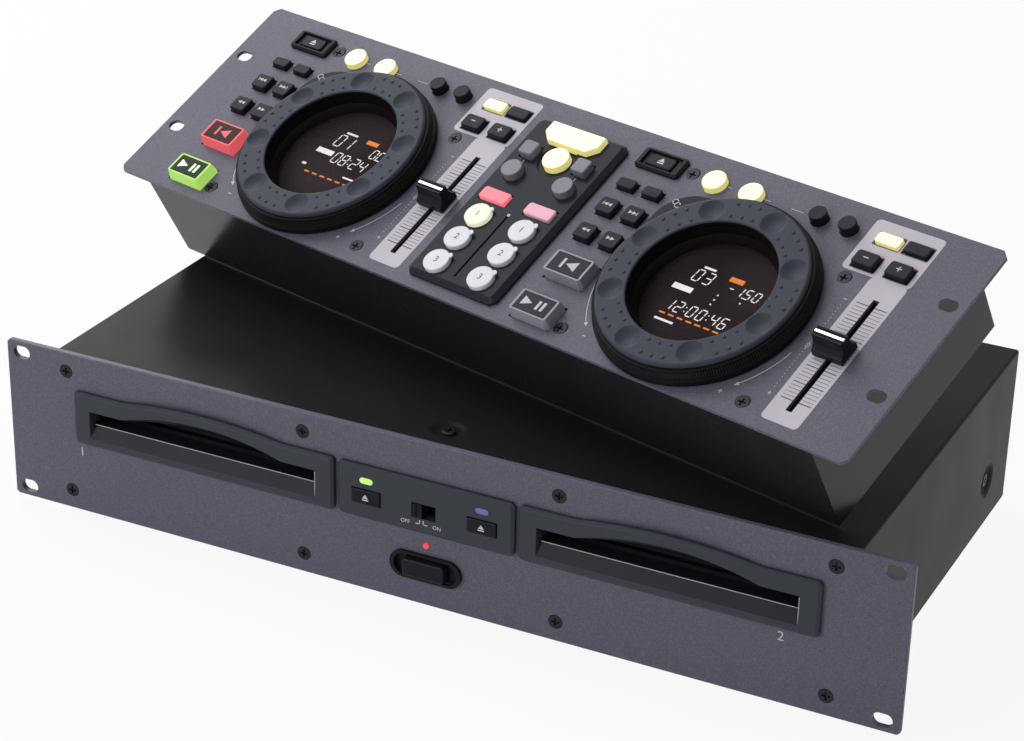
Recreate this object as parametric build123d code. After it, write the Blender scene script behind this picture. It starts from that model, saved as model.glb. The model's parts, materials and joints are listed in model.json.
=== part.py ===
from build123d import *
import math
import os

# Twin disc player: a 2U player on its feet and a tilted 3U control panel that stands on its cover.
# Origin: centre of the player's rack-slot pattern on its front face. +X right, +Y into the unit, +Z up.
# Millimetres. The controller is drawn flat, its panel's top face at height 0, and placed at the end.

# ---------------------------------------------------------------- rack panels
RACK_WIDTH = 482.6
RACK_SLOT_PITCH = 465.1
RACK_SLOT_LONG = 10.0
RACK_SLOT_WIDE = 7.0
PANEL_CORNER = 1.5
PANEL_EDGE = 0.4
PLAYER_PANEL_HEIGHT = 88.1
PLAYER_SLOT_PITCH = 76.2
PLAYER_PANEL_THICK = 3.0
CONTROL_PANEL_HEIGHT = 132.5
CONTROL_SLOT_PITCH = 57.15
CONTROL_PANEL_THICK = 2.0

# ---------------------------------------------------------------- player body
BODY_WIDTH = 429.4
BODY_HEIGHT = 84.7
BODY_DEPTH = 242.0
BODY_LIFT = 1.5
SHEET = 1.0
COVER_BEND = 1.6
FOOT_HEIGHT = 6.0
FOOT_DIAMETER = 22.0
FOOT_INSET_X = 38.0
FOOT_INSET_Y = 34.0
DISH_DIAMETER = 20.0
DISH_FLOOR = 11.0
DISH_DEPTH = 2.4
FOLD = 1.2
FLANGE_HEIGHT = 14.0
POST = 6.0
KEY_POST = 5.0
KEY_POST_INSET = 3.0
COVER_SCREW_Y = 22.0
SIDE_SCREW_Y = 206.0
SIDE_SCREW_Z = -17.0
SCREW_HEAD = 7.6
SCREW_SHANK = 3.6
SCREW_LENGTH = 8.0
SCREW_NECK = 4.0
SCREW_CROWN = 6.8
SCREW_SEAT = 1.6
SCREW_ROOM = 0.4
ROUND_SIDES = 12
SHANK_SIDES = 6
PLAYER_SCREW_X = (-205.8, -68.3, 69.2, 205.2)
PLAYER_SCREW_Z = (-33.7, 33.7)

# ---------------------------------------------------------------- disc slots and front fittings
BEZEL_SIDE = 9.85
BEZEL_GAP = 2.05
BEZEL_HEIGHT = 29.0
BEZEL_Z = 10.7
BEZEL_PROUD = 3.4
BEZEL_DEEP = 14.0
BEZEL_EDGE = 1.5
ARCH_CHORD = 92.0
ARCH_RISE = 3.4
FUNNEL_SIDE = 2.5
FUNNEL_LOW = 0.7
FUNNEL_HIGH = 16.0
SCOOP_RISE = 7.5
SCOOP_CHORD = 94.0
DISC_DIAMETER = 120.0
DISC_BORE = 15.0
DISC_PLANE = 10.45
DISC_ROOM = 3.0
DISC_SLOT_HEIGHT = 5.6
CRESCENT_CHORD = 92.0
CRESCENT_RISE = 11.0
CRESCENT_DEPTH = 1.4
FASCIA_WIDTH = 95.2
FASCIA_HEIGHT = 28.5
FITTING_DEEP = 9.0
PLAYER_EJECT_X = 31.2
PLAYER_EJECT_Z = 8.9
PLAYER_EJECT_SIZE = (15.5, 7.6)
PLAYER_EJECT_PROUD = 4.4
PLAYER_EJECT_TRAVEL = 0.8
LENS_Z = 17.5
LENS_SIZE = (7.0, 3.0)
SWITCH_SLOT = (13.0, 8.0)
SWITCH_Z = 8.9
SWITCH_KNOB = (5.0, 7.2)
SWITCH_PROUD = 1.0
SWITCH_NECK = 6.0
SWITCH_STEM = (3.0, 5.0)
SWITCH_GROOVE = (1.4, 1.6)
SLIDER_GAP = 0.2
SLIDER_THICK = 1.2
SWITCH_TRAVEL = 6.0
POWER_Z = -23.3
POWER_BEZEL = (38.8, 14.5)
POWER_WELL = (34.0, 11.4)
POWER_BUTTON = (22.6, 9.2)
POWER_PROUD = 4.5
POWER_TRAVEL = 2.5
POWER_RIM = 1.8
POWER_STEM = 3.0
POWER_LAMP_Z = -11.0
POWER_LAMP_DIAMETER = 3.0

# ---------------------------------------------------------------- loading drives
SPINDLE_Y = 84.0
DECK_SIZE = (142.0, 168.0)
DECK_FRONT = 16.0
DECK_BASE_Z = -16.0
DECK_SHEET = 1.5
DECK_TOP_Z = 19.0
TURNTABLE_DIAMETER = 30.0
TURNTABLE_TOP = 7.8
SPINDLE_DIAMETER = 3.0
SHAFT_DEPTH = 8.0
MOTOR_DIAMETER = 24.0
MOTOR_TOP = -4.0
CLAMP_DIAMETER = 30.0
CLAMP_BOTTOM = 13.2
ROLLER_Y = 26.0
ROLLER_Z = 2.6
ROLLER_ENDS = 9.0
ROLLER_WAIST = 6.4
ROLLER_LENGTH = 128.0
ROLLER_AXLE = 3.0
PICKUP_SIZE = (34.0, 26.0, 9.0)
PICKUP_TRAVEL = 34.0
PICKUP_TOP = 4.4
LENS_START = 23.0
LENS_OFFSET = 7.0
RAIL_DIAMETER = 3.0
RAIL_SPACING = 48.0
SHAFT_PLAY = 0.05

# ---------------------------------------------------------------- rear fittings and boards
JACK_X = (-152.0, -128.0)
JACK_Z = (-26.0, -8.0)
JACK_SHELL = 8.3
JACK_BORE = 6.5
JACK_BODY = 11.0
JACK_PROUD = 9.0
JACK_BEHIND = 15.0
DIGITAL_X = (-96.0, -76.0)
SOCKET_X = (-20.0, 12.0)
SOCKET_Z = -20.0
SOCKET_DIAMETER = 16.0
SOCKET_BORE = 12.8
SOCKET_PROUD = 2.0
SOCKET_HOLLOW = 6.0
SOCKET_BEHIND = 14.0
FITTING_GAP = 0.3
INLET = (27.0, 19.5)
INLET_MOUTH = (24.0, 16.5)
INLET_CUT = 4.5
INLET_PROUD = 2.5
INLET_HOLLOW = 12.0
INLET_BEHIND = 18.0
INLET_BLADE = (2.0, 4.0)
INLET_BLADES = ((-7.0, -1.5), (7.0, -1.5), (0.0, 2.5))
INLET_X = 172.0
INLET_Z = -18.0
VENT_COUNT = 12
VENT_PITCH = 6.5
VENT_SIZE = (2.6, 18.0)
VENT_X = 70.0
VENT_Z = 24.0
REAR_BOARD_Y = 200.0
SUPPLY_BOARD_Y = 100.0
KEY_BOARD_WIDTH = 103.0

# ---------------------------------------------------------------- controller
CONTROL_YAW = -16.5
CONTROL_TILT = 28.93
CONTROL_X = -5.7
CONTROL_Y = 110.4
STANDING_GAP = 0.3
CASE_WIDTH = 443.0
CASE_HEIGHT = 129.2
CASE_DEPTH = 57.5
BOARD_THICK = 1.6
BOARD_TOP = -10.4
PILLAR_ACROSS = 6.0
CONTROL_SOCKET_X = (-24.0, 24.0)
CONTROL_SOCKET_Y = 26.0
CONTROL_SCREWS = (
    (-177.3, -55.75), (-68.0, -55.75), (69.5, -55.75), (178.4, -55.75),
    (-177.8, 51.25), (69.5, 51.1), (-68.0, 24.3), (178.7, 24.4),
)
KEY_GAP = 0.3
KEY_DROP = 7.0
KEY_TRAVEL = 1.2
KEY_CORNER = 1.2
LIT_KEY_BAND = 0.6
SWITCH_BODY = 6.0
DECK_PITCH = 247.0

# ---------------------------------------------------------------- jog dial
JOG_AT = (1.2, -11.05)
JOG_SKIRT = 55.0
JOG_RIM = 53.6
JOG_FACE = 51.6
JOG_OPENING = 36.5
JOG_HEIGHT = 11.6
JOG_FACE_THICK = 2.6
JOG_RIM_TOP = 9.2
JOG_SKIRT_TOP = 4.0
JOG_FLOAT = 0.8
HUB_WALL = 1.6
HUB_TOP = 8.2
BEARING_PLAY = 0.05
BEARING_WALL = 2.2
DIMPLE_COUNT = 8
DIMPLE_CIRCLE = 43.7
DIMPLE_DIAMETER = 13.2
DIMPLE_DEPTH = 1.7
DIAL_TURNS = {"a": 18.0, "b": 30.0}
WINDOW_TOP = -1.5
WINDOW_THICK = 2.0
DISPLAY_TOP = -4.5

# ---------------------------------------------------------------- faders
FADER_X = 77.5
FADER_SLOT = (3.4, 70.0)
FADER_SLOT_Y = -17.05
FADER_REST = 2.0
FADER_KNOB = (16.8, 12.4, 11.2)
FADER_CREST = 6.0
FADER_STEM = (1.4, 5.0)
FADER_TRACK = (9.0, 84.0)
FADER_FLOAT = 0.8

# ---------------------------------------------------------------- centre plate
PLATE_SIZE = (59.0, 112.0)
PLATE_AT = (0.0, -3.85)
PLATE_RISE = 4.0
PLATE_EDGE = 2.4
SYNC_ROUND_Y = 28.9

# Keys of one deck, from its own middle: node, where each key is, plan (one number is a diameter), height.
DECK_KEYS = (
    ("cue_button", ((-71.1, -25.7),), (25.2, 15.5), 5.8),
    ("play_button", ((-71.1, -52.7),), (25.2, 15.2), 5.8),
    ("search_buttons", ((-80.0, 15.2), (-63.9, 15.2), (-80.0, -2.8), (-63.9, -2.8)), (10.6, 9.8), 3.5),
    ("loop_buttons", ((-39.3, 49.75), (-17.0, 49.75)), (12.6,), 3.0),
    ("loop_buttons", ((23.2, 49.75), (40.2, 49.75)), (9.0,), 5.0),
    ("tempo_buttons", ((62.4, 50.6), (78.4, 50.6)), (13.6, 6.8), 1.8),
    ("tempo_buttons", ((59.7, 35.8), (78.2, 35.8)), (12.6, 8.6), 3.0),
    ("display_buttons", ((-80.3, 31.3), (-64.3, 31.3)), (11.0, 6.2), 3.0),
)
EJECT_KEY_AT = (-73.0, 50.4)
EJECT_KEY_SIZE = (15.6, 7.6)
EJECT_BEZEL_SIZE = (27.4, 13.0)
EJECT_BEZEL_RISE = 2.4
EJECT_KEY_RISE = 2.0
LEAF_ANGLE = 140.0
LEAF_SPREAD = 20.0
LEAF_INNER = 56.4
LEAF_OUTER = 66.0
LEAF_RISE = 3.0

# Keys on the centre plate, measured the same way; heights count from the panel's face.
CENTRE_KEYS = (
    ("sync_round_button", ((0.0, SYNC_ROUND_Y),), (14.4,), 6.4),
    ("auto_buttons", ((-17.4, 28.95), (17.4, 28.95)), (9.0, 9.0), 8.0),
    ("tap_buttons", ((-16.95, 14.05), (16.95, 14.05)), (11.2,), 8.0),
    ("record_buttons", ((-14.95, -3.05), (14.95, -3.05)), (17.6, 7.6), 5.6),
    ("hot_cue_buttons_a", ((-14.7, -17.05), (-14.7, -33.45), (-14.7, -49.85)), (14.0,), 6.2),
    ("hot_cue_buttons_b", ((14.7, -17.05), (14.7, -33.45), (14.7, -49.85)), (14.0,), 6.2),
)
SYNC_BAR_AT = (0.0, 43.5)
SYNC_BAR_SIZE = (35.0, 12.4)
SYNC_BAR_CUT = 5.0
SYNC_BAR_RISE = 7.2
SYNC_DISH = 21.0
GROOVE = (1.2, 43.0, 0.8)
GROOVE_START = 6.0
PLATE_LAND = 2.0

# ---------------------------------------------------------------- worked out from the sizes above
DISC_SLOT_WIDTH = DISC_DIAMETER + 2 * DISC_ROOM
FUNNEL_WIDTH = DISC_SLOT_WIDTH + 2 * FUNNEL_SIDE
BEZEL_WIDTH = FUNNEL_WIDTH + 2 * BEZEL_SIDE
BAY_X = FASCIA_WIDTH / 2 + BEZEL_GAP + BEZEL_WIDTH / 2
BODY_BOTTOM = -PLAYER_PANEL_HEIGHT / 2 + BODY_LIFT
BODY_TOP = BODY_BOTTOM + BODY_HEIGHT
FLOOR = BODY_BOTTOM - FOOT_HEIGHT
INNER_WIDTH = BODY_WIDTH - 2 * SHEET - 0.4
WALL_FRONT = PLAYER_PANEL_THICK
WALL_BACK = WALL_FRONT + FOLD
PAN_TOP = BODY_BOTTOM + FOLD
SLOT_LOW = DISC_PLANE - DISC_SLOT_HEIGHT / 2
SLOT_HIGH = DISC_PLANE + DISC_SLOT_HEIGHT / 2
CONTROL_Z = (BODY_TOP + STANDING_GAP + CASE_HEIGHT / 2 * math.sin(math.radians(CONTROL_TILT))
             + CASE_DEPTH * math.cos(math.radians(CONTROL_TILT)))
CONTROL_PLACE = (Pos(CONTROL_X, CONTROL_Y, CONTROL_Z) * Rot(0, 0, CONTROL_YAW)
                 * Rot(CONTROL_TILT, 0, 0))
PANEL_UNDER = -CONTROL_PANEL_THICK
DECKS = (("a", -DECK_PITCH / 2), ("b", DECK_PITCH / 2))
BAYS = (("a", -BAY_X), ("b", BAY_X))
SWITCH_TOP = -KEY_DROP - KEY_TRAVEL - STANDING_GAP
COVER_UNDER = BODY_TOP - SHEET - 0.2
BOARD_Z = PAN_TOP + 6.0
KEY_SWITCH_Y = FITTING_DEEP + 3.2
KEY_BOARD_Y = KEY_SWITCH_Y + 1.4
RAIL_Z = PICKUP_TOP - PICKUP_SIZE[2] + RAIL_DIAMETER
PICKUP_NEAR = SPINDLE_Y + LENS_START + LENS_OFFSET
PICKUP_FAR = PICKUP_NEAR + PICKUP_TRAVEL
HUB_OUTSIDE = JOG_OPENING + HUB_WALL

PARTS = {}


# ---------------------------------------------------------------- drawing helpers
def front(sketch, near, far):
    """A prism of a drawing seen from the front (X, Z), from depth near to depth far."""
    return extrude(Plane.XZ.offset(-far) * sketch, amount=far - near)


def up(sketch, low, high):
    """A prism of a drawing seen from above, from height low to height high."""
    return extrude(Pos(0, 0, low) * sketch, amount=high - low)


def rounded(width, height, corner):
    """A rectangle with round corners."""
    return RectangleRounded(width, height, min(corner, 0.45 * min(width, height)))


def cut_corners(width, height, corner):
    """A rectangle with its corners cut at 45 degrees."""
    return chamfer(Rectangle(width, height).vertices(), corner)


def plan(size, grow=0.0):
    """A key's plan: a circle for one number, else a rectangle with eased corners."""
    if len(size) == 1:
        return Circle(size[0] / 2 + grow)
    return cut_corners(size[0] + 2 * grow, size[1] + 2 * grow, KEY_CORNER)


def opening(size):
    """The panel's opening for a key: the key's plan with the running gap, its corners left square."""
    if len(size) == 1:
        return Circle(size[0] / 2 + KEY_GAP)
    return Rectangle(size[0] + 2 * KEY_GAP, size[1] + 2 * KEY_GAP)


def turned(diameter, sides=ROUND_SIDES):
    """A small round outline, kept to a few sides because it is repeated often."""
    return RegularPolygon(diameter / 2, sides)


def arch(chord, rise):
    """A circular segment that stands on a chord along X, centred on it."""
    half = chord / 2
    arc = ThreePointArc((-half, 0), (0, rise), (half, 0))
    return make_face(Curve() + [arc, Line((half, 0), (-half, 0))])


def scoop(chord, rise, near, far, run):
    """A cone whose mouth, at depth near, is the arch of chord and rise; it closes by run before far."""
    radius = (chord * chord / 4 + rise * rise) / (2 * rise)
    cone = Solid.make_cone(radius, radius - run, far - near, Plane(origin=(0, near, 0), z_dir=(0, 1, 0)))
    limit = Pos(0, (near + far) / 2, rise) * Box(chord * 1.2, far - near, 2 * rise + 0.4)
    return (Pos(0, 0, rise - radius) * cone) & limit


def cone(foot, head, height):
    """A cone up +Z from height 0, from one diameter to another."""
    return Solid.make_cone(foot / 2, head / 2, height)


def countersunk(grow=0.0, length=None):
    """A flat-headed screw along -Z, its head's face at height 0; grown, it is the hole for one."""
    reach = SCREW_LENGTH if length is None else length
    seat = SCREW_SEAT + grow / 2
    head = Pos(0, 0, -seat) * cone(SCREW_NECK + grow, SCREW_HEAD + grow, seat)
    return head + up(turned(SCREW_SHANK + grow, SHANK_SIDES), -reach, -seat / 2)


def pan_head(length):
    """A low round-headed screw along -Z, the underside of its head at height 0."""
    head = cone(SCREW_HEAD, SCREW_CROWN, SCREW_SEAT)
    return head + up(turned(SCREW_SHANK - SCREW_ROOM, SHANK_SIDES), -length, 0)


def facing(direction, x, y, z):
    """Turns a piece drawn along +Z to look along a direction at a point, its own +Y kept upwards."""
    level = (direction[0] == 0 and direction[1] == 0)
    across = (1, 0, 0) if level else (-direction[1], direction[0], 0)
    return Plane(origin=(x, y, z), x_dir=across, z_dir=direction).location


def hexagon(across):
    """A hexagon of a given width across its flats."""
    return RegularPolygon(across / 2, 6, major_radius=False)


def eased(solid, normal_axis, edge):
    """Chamfers the rim of the outermost face along an axis."""
    return chamfer(solid.faces().sort_by(normal_axis)[-1].edges(), edge)


# ---------------------------------------------------------------- player shell
def rack_slots(pitch):
    places = [Pos(x, z) for x in (-RACK_SLOT_PITCH / 2, RACK_SLOT_PITCH / 2) for z in (-pitch / 2, pitch / 2)]
    return [place * SlotOverall(RACK_SLOT_LONG, RACK_SLOT_WIDE) for place in places]


def player_screw_places():
    return [(x, z) for x in PLAYER_SCREW_X for z in PLAYER_SCREW_Z]


def player_front_panel():
    """Thick rack panel: slots, fitting openings, countersinks and a shallow crescent over each disc slot."""
    face = cut_corners(RACK_WIDTH, PLAYER_PANEL_HEIGHT, PANEL_CORNER)
    panel = eased(front(face, 0, PLAYER_PANEL_THICK), -Axis.Y, PANEL_EDGE)
    cuts = Pos(0, BEZEL_Z) * Rectangle(FASCIA_WIDTH - 7, FASCIA_HEIGHT - 6)
    cuts += Pos(0, POWER_Z) * SlotOverall(POWER_BEZEL[0] - 3, POWER_BEZEL[1] - 3)
    cuts += Pos(0, POWER_LAMP_Z) * Circle(POWER_LAMP_DIAMETER / 2 + 0.1)
    for slot in rack_slots(PLAYER_SLOT_PITCH):
        cuts += slot
    for _, x in BAYS:
        cuts += Pos(x, BEZEL_Z) * Rectangle(BEZEL_WIDTH - 7, BEZEL_HEIGHT - 6)
    panel -= front(cuts, -1, PLAYER_PANEL_THICK + 1)
    hole = countersunk(SCREW_ROOM, PLAYER_PANEL_THICK + 1)
    for x, z in player_screw_places():
        panel -= facing((0, -1, 0), x, 0, z) * hole
    for _, x in BAYS:
        crescent = scoop(CRESCENT_CHORD, CRESCENT_RISE, 0, CRESCENT_DEPTH, CRESCENT_RISE * 0.8)
        panel -= Pos(x, 0, BEZEL_Z + BEZEL_HEIGHT / 2) * crescent
    return panel


def chassis_wall():
    """Front wall of the tray, open behind every front fitting, with the screws' clearance holes."""
    wall_height = COVER_UNDER - BODY_BOTTOM
    face = Pos(0, BODY_BOTTOM + wall_height / 2) * Rectangle(INNER_WIDTH, wall_height)
    for _, x in BAYS:
        face -= Pos(x, BEZEL_Z) * Rectangle(BEZEL_WIDTH - 5, BEZEL_HEIGHT - 4)
    face -= Pos(0, BEZEL_Z) * Rectangle(FASCIA_WIDTH - 5, FASCIA_HEIGHT - 4)
    face -= Pos(0, POWER_Z) * Rectangle(*POWER_BEZEL)
    face -= Pos(0, POWER_LAMP_Z) * Rectangle(POWER_LAMP_DIAMETER + 1, POWER_LAMP_DIAMETER + 1)
    for x, z in player_screw_places():
        face -= Pos(x, z) * turned(SCREW_SHANK + SCREW_ROOM, SHANK_SIDES)
    return front(face, WALL_FRONT, WALL_BACK)


def chassis_posts():
    """Posts pressed into the tray and its wall: two for the key board, the rest for drives and boards."""
    reach = KEY_BOARD_WIDTH / 2 - KEY_POST_INSET
    key_post = Box(KEY_POST, KEY_BOARD_Y - WALL_BACK, KEY_POST, align=(Align.CENTER, Align.MIN, Align.CENTER))
    posts = [Pos(side * reach, WALL_BACK, BEZEL_Z) * key_post for side in (-1, 1)]
    for places, top in ((deck_posts(), DECK_BASE_Z), (board_posts(), BOARD_Z)):
        post = Box(POST, POST, top - PAN_TOP, align=(Align.CENTER, Align.CENTER, Align.MIN))
        posts += [Pos(x, y, PAN_TOP) * post for x, y in places]
    return posts


def player_chassis():
    """Tray with folded side flanges, the wall riveted to its front, and the pressed-in posts."""
    depth = BODY_DEPTH - SHEET - WALL_BACK
    tray = Pos(0, WALL_BACK + depth / 2, 0) * up(Rectangle(INNER_WIDTH, depth), BODY_BOTTOM, PAN_TOP)
    for side in (-1, 1):
        flange = Box(FOLD, depth, FLANGE_HEIGHT, align=(Align.CENTER, Align.MIN, Align.MIN))
        tray += Pos(side * (INNER_WIDTH - FOLD) / 2, WALL_BACK, BODY_BOTTOM) * flange
    return [tray, chassis_wall()] + chassis_posts()


def foot_places():
    return [(sx * (BODY_WIDTH / 2 - FOOT_INSET_X), y)
            for sx in (-1, 1) for y in (FOOT_INSET_Y, BODY_DEPTH - FOOT_INSET_Y)]


def player_feet():
    foot = up(Circle(FOOT_DIAMETER / 2), FLOOR, BODY_BOTTOM)
    return [Pos(x, y, 0) * foot for x, y in foot_places()]


def dish():
    """A pressed screw seat along -Z: what is added under the sheet, and what is cut away above it."""
    well = Pos(0, 0, -DISH_DEPTH) * cone(DISH_FLOOR, DISH_DIAMETER, DISH_DEPTH)
    return Pos(0, 0, -SHEET) * well, well


def cover_dishes():
    side = BODY_WIDTH / 2
    return [facing((0, 0, 1), 0, COVER_SCREW_Y, BODY_TOP),
            facing((1, 0, 0), side, SIDE_SCREW_Y, SIDE_SCREW_Z),
            facing((-1, 0, 0), -side, SIDE_SCREW_Y, SIDE_SCREW_Z)]


def player_top_cover():
    """Folded cover: top and both sides in one sheet, with the pressed seats of its screws."""
    outer = Pos(0, BODY_BOTTOM + BODY_HEIGHT / 2) * Rectangle(BODY_WIDTH, BODY_HEIGHT)
    outer = fillet(outer.vertices().group_by(Axis.Y)[-1], COVER_BEND)
    inner_height = BODY_HEIGHT - SHEET
    inner = Pos(0, BODY_BOTTOM + inner_height / 2) * Rectangle(BODY_WIDTH - 2 * SHEET, inner_height)
    inner = fillet(inner.vertices().group_by(Axis.Y)[-1], COVER_BEND - SHEET)
    cover = front(outer - inner, PLAYER_PANEL_THICK, BODY_DEPTH)
    boss, well = dish()
    for place in cover_dishes():
        cover = cover + place * boss - place * well
        cover -= place * up(turned(SCREW_SHANK + SCREW_ROOM / 2, SHANK_SIDES), -SCREW_LENGTH, 0)
    return cover


def rear_openings():
    """The openings of the rear panel: plan, x, z."""
    spots = [(x, z) for x in JACK_X for z in JACK_Z] + [(x, JACK_Z[0]) for x in DIGITAL_X]
    jacks = [(Circle(JACK_SHELL / 2 + FITTING_GAP), x, z) for x, z in spots]
    sockets = [(Circle(SOCKET_DIAMETER / 2 + FITTING_GAP), x, SOCKET_Z) for x in SOCKET_X]
    return jacks + sockets + [(Rectangle(INLET[0] + FITTING_GAP, INLET[1] + FITTING_GAP), INLET_X, INLET_Z)]


def player_rear_panel():
    height = COVER_UNDER - BODY_BOTTOM
    face = Pos(0, BODY_BOTTOM + height / 2) * Rectangle(INNER_WIDTH, height)
    for shape, x, z in rear_openings():
        face -= Pos(x, z) * shape
    for column in range(VENT_COUNT):
        face -= Pos(VENT_X + column * VENT_PITCH, VENT_Z) * Rectangle(*VENT_SIZE)
    return front(face, BODY_DEPTH - SHEET, BODY_DEPTH)


def jack():
    """A phono jack: square body behind the panel and a round shell with its open mouth, along +Z."""
    body = up(Rectangle(JACK_BODY, JACK_BODY), -JACK_BEHIND, -SHEET)
    return body + up(Circle(JACK_SHELL / 2) - Circle(JACK_BORE / 2), -SHEET, JACK_PROUD)


def round_socket():
    """A round multi-pin socket, its barrel open towards +Z."""
    barrel = up(Circle(SOCKET_DIAMETER / 2), -SOCKET_BEHIND, SOCKET_PROUD)
    return barrel - up(Circle(SOCKET_BORE / 2), -SOCKET_HOLLOW, SOCKET_PROUD + 1)


def mains_inlet():
    """A mains inlet: rim, hollow with cut upper corners and three blades, along +Z."""
    body = up(Rectangle(*INLET), -INLET_BEHIND, INLET_PROUD)
    hollow = chamfer(Rectangle(*INLET_MOUTH).vertices().group_by(Axis.Y)[-1], INLET_CUT)
    body -= up(hollow, -INLET_HOLLOW, INLET_PROUD + 1)
    for x, y in INLET_BLADES:
        body += Pos(x, y, 0) * up(Rectangle(*INLET_BLADE), -INLET_HOLLOW, 0)
    return body


def rear_connectors():
    spots = [(x, z) for x in JACK_X for z in JACK_Z] + [(x, JACK_Z[0]) for x in DIGITAL_X]
    pieces = [facing((0, 1, 0), x, BODY_DEPTH, z) * jack() for x, z in spots]
    pieces += [facing((0, 1, 0), x, BODY_DEPTH, SOCKET_Z) * round_socket() for x in SOCKET_X]
    return pieces + [facing((0, 1, 0), INLET_X, BODY_DEPTH, INLET_Z) * mains_inlet()]


def board_posts():
    rear = [(x, REAR_BOARD_Y + dy) for x in (-190.0, 0.0, 190.0) for dy in (-14.0, 14.0)]
    return rear + [(sx * 40.0, SUPPLY_BOARD_Y + dy) for sx in (-1, 1) for dy in (-45.0, 45.0)]


def player_electronics():
    """Rear board, supply board with its transformer and capacitors, key board and power switch."""
    top = BOARD_Z + BOARD_THICK
    stand = (Align.CENTER, Align.CENTER, Align.MIN)
    rear = Pos(0, REAR_BOARD_Y, BOARD_Z) * Box(400, 40, BOARD_THICK, align=stand)
    supply = Pos(0, SUPPLY_BOARD_Y, BOARD_Z) * Box(96, 110, BOARD_THICK, align=stand)
    core = Pos(0, SUPPLY_BOARD_Y + 25, top) * Box(50, 42, 36, align=stand)
    winding = Pos(0, SUPPLY_BOARD_Y + 25, top) * Box(34, 56, 28, align=stand)
    pieces = [rear, supply, core + winding]
    for x in (-28.0, 0.0, 28.0):
        pieces.append(Pos(x, SUPPLY_BOARD_Y - 33, 0) * up(turned(16), top, top + 25))
    for x in (-100.0, 60.0, 110.0):
        pieces.append(Pos(x, REAR_BOARD_Y, top) * Box(18, 18, 2.4, align=stand))
    key_board = Box(KEY_BOARD_WIDTH, BOARD_THICK, FASCIA_HEIGHT, align=(Align.CENTER, Align.MIN, Align.CENTER))
    pieces.append(Pos(0, KEY_BOARD_Y, BEZEL_Z) * key_board)
    key_switch = Pos(0, PLAYER_EJECT_Z) * Rectangle(SWITCH_BODY, SWITCH_BODY)
    pieces += [Pos(side * PLAYER_EJECT_X, 0, 0) * front(key_switch, KEY_SWITCH_Y, KEY_BOARD_Y) for side in (-1, 1)]
    switch_y = FITTING_DEEP + POWER_STEM + POWER_TRAVEL + STANDING_GAP
    power = Box(16, 20, POWER_Z + 8 - PAN_TOP, align=(Align.CENTER, Align.MIN, Align.MIN))
    pieces.append(Pos(0, switch_y, PAN_TOP) * power)
    return pieces


def player_screws():
    pieces = [facing((0, -1, 0), x, 0, z) * countersunk() for x, z in player_screw_places()]
    seat = Pos(0, 0, -DISH_DEPTH) * pan_head(6)
    return pieces + [place * seat for place in cover_dishes()]


# ---------------------------------------------------------------- front fittings
def slot_bezel():
    """Raised frame whose funnel leads a disc into the slot; both lips are scooped for the fingers."""
    half = BEZEL_HEIGHT / 2
    outline = rounded(BEZEL_WIDTH, BEZEL_HEIGHT, 2.5) + Pos(0, half - 0.01) * arch(ARCH_CHORD, ARCH_RISE)
    bezel = eased(front(outline, -BEZEL_PROUD, 0), -Axis.Y, BEZEL_EDGE)
    bezel += front(Rectangle(BEZEL_WIDTH - 7.6, BEZEL_HEIGHT - 6.6), 0, BEZEL_DEEP)
    low, high = FUNNEL_LOW - BEZEL_Z, FUNNEL_HIGH - BEZEL_Z
    lip, roof = SLOT_LOW - BEZEL_Z, SLOT_HIGH - BEZEL_Z
    mouth = -BEZEL_PROUD - 0.2
    funnel = make_face(Polyline((mouth, low), (0.4, lip), (BEZEL_DEEP - 4, lip), (BEZEL_DEEP - 4, roof),
                                (3.0, high), (mouth, high), (mouth, low)))
    bezel -= extrude(Plane.YZ.offset(-FUNNEL_WIDTH / 2) * funnel, amount=FUNNEL_WIDTH)
    slot = Pos(0, DISC_PLANE - BEZEL_Z) * Rectangle(DISC_SLOT_WIDTH, DISC_SLOT_HEIGHT)
    bezel -= front(slot, 0, BEZEL_DEEP + 1)
    bezel -= Pos(0, 0, high) * scoop(SCOOP_CHORD, SCOOP_RISE, mouth, BEZEL_DEEP - 5, SCOOP_RISE + 1)
    lower = scoop(SCOOP_CHORD, SCOOP_RISE * 0.5, mouth, 6, SCOOP_RISE * 0.5)
    return bezel - Pos(0, 0, lip) * mirror(lower, Plane.XY)


def center_fascia():
    """Raised centre block: bevelled rim and openings for the eject keys, lenses and slide switch."""
    fascia = eased(front(cut_corners(FASCIA_WIDTH, FASCIA_HEIGHT, 2.0), -BEZEL_PROUD, 0), -Axis.Y, BEZEL_EDGE)
    fascia += front(Rectangle(FASCIA_WIDTH - 7.6, FASCIA_HEIGHT - 6.6), 0, FITTING_DEEP)
    for side in (-1, 1):
        x = side * PLAYER_EJECT_X
        key_hole = Rectangle(PLAYER_EJECT_SIZE[0] + 2 * KEY_GAP, PLAYER_EJECT_SIZE[1] + 2 * KEY_GAP)
        fascia -= Pos(x, 0, PLAYER_EJECT_Z - BEZEL_Z) * front(key_hole, -BEZEL_PROUD - 1, FITTING_DEEP + 1)
        lens = SlotOverall(LENS_SIZE[0] + 0.2, LENS_SIZE[1] + 0.2)
        fascia -= Pos(x, 0, LENS_Z - BEZEL_Z) * front(lens, -BEZEL_PROUD - 1, FITTING_DEEP + 1)
    switch = front(Rectangle(*SWITCH_SLOT), -BEZEL_PROUD - 1, FITTING_DEEP + 1)
    return Pos(0, 0, BEZEL_Z) * (fascia - Pos(0, 0, SWITCH_Z - BEZEL_Z) * switch)


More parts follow.
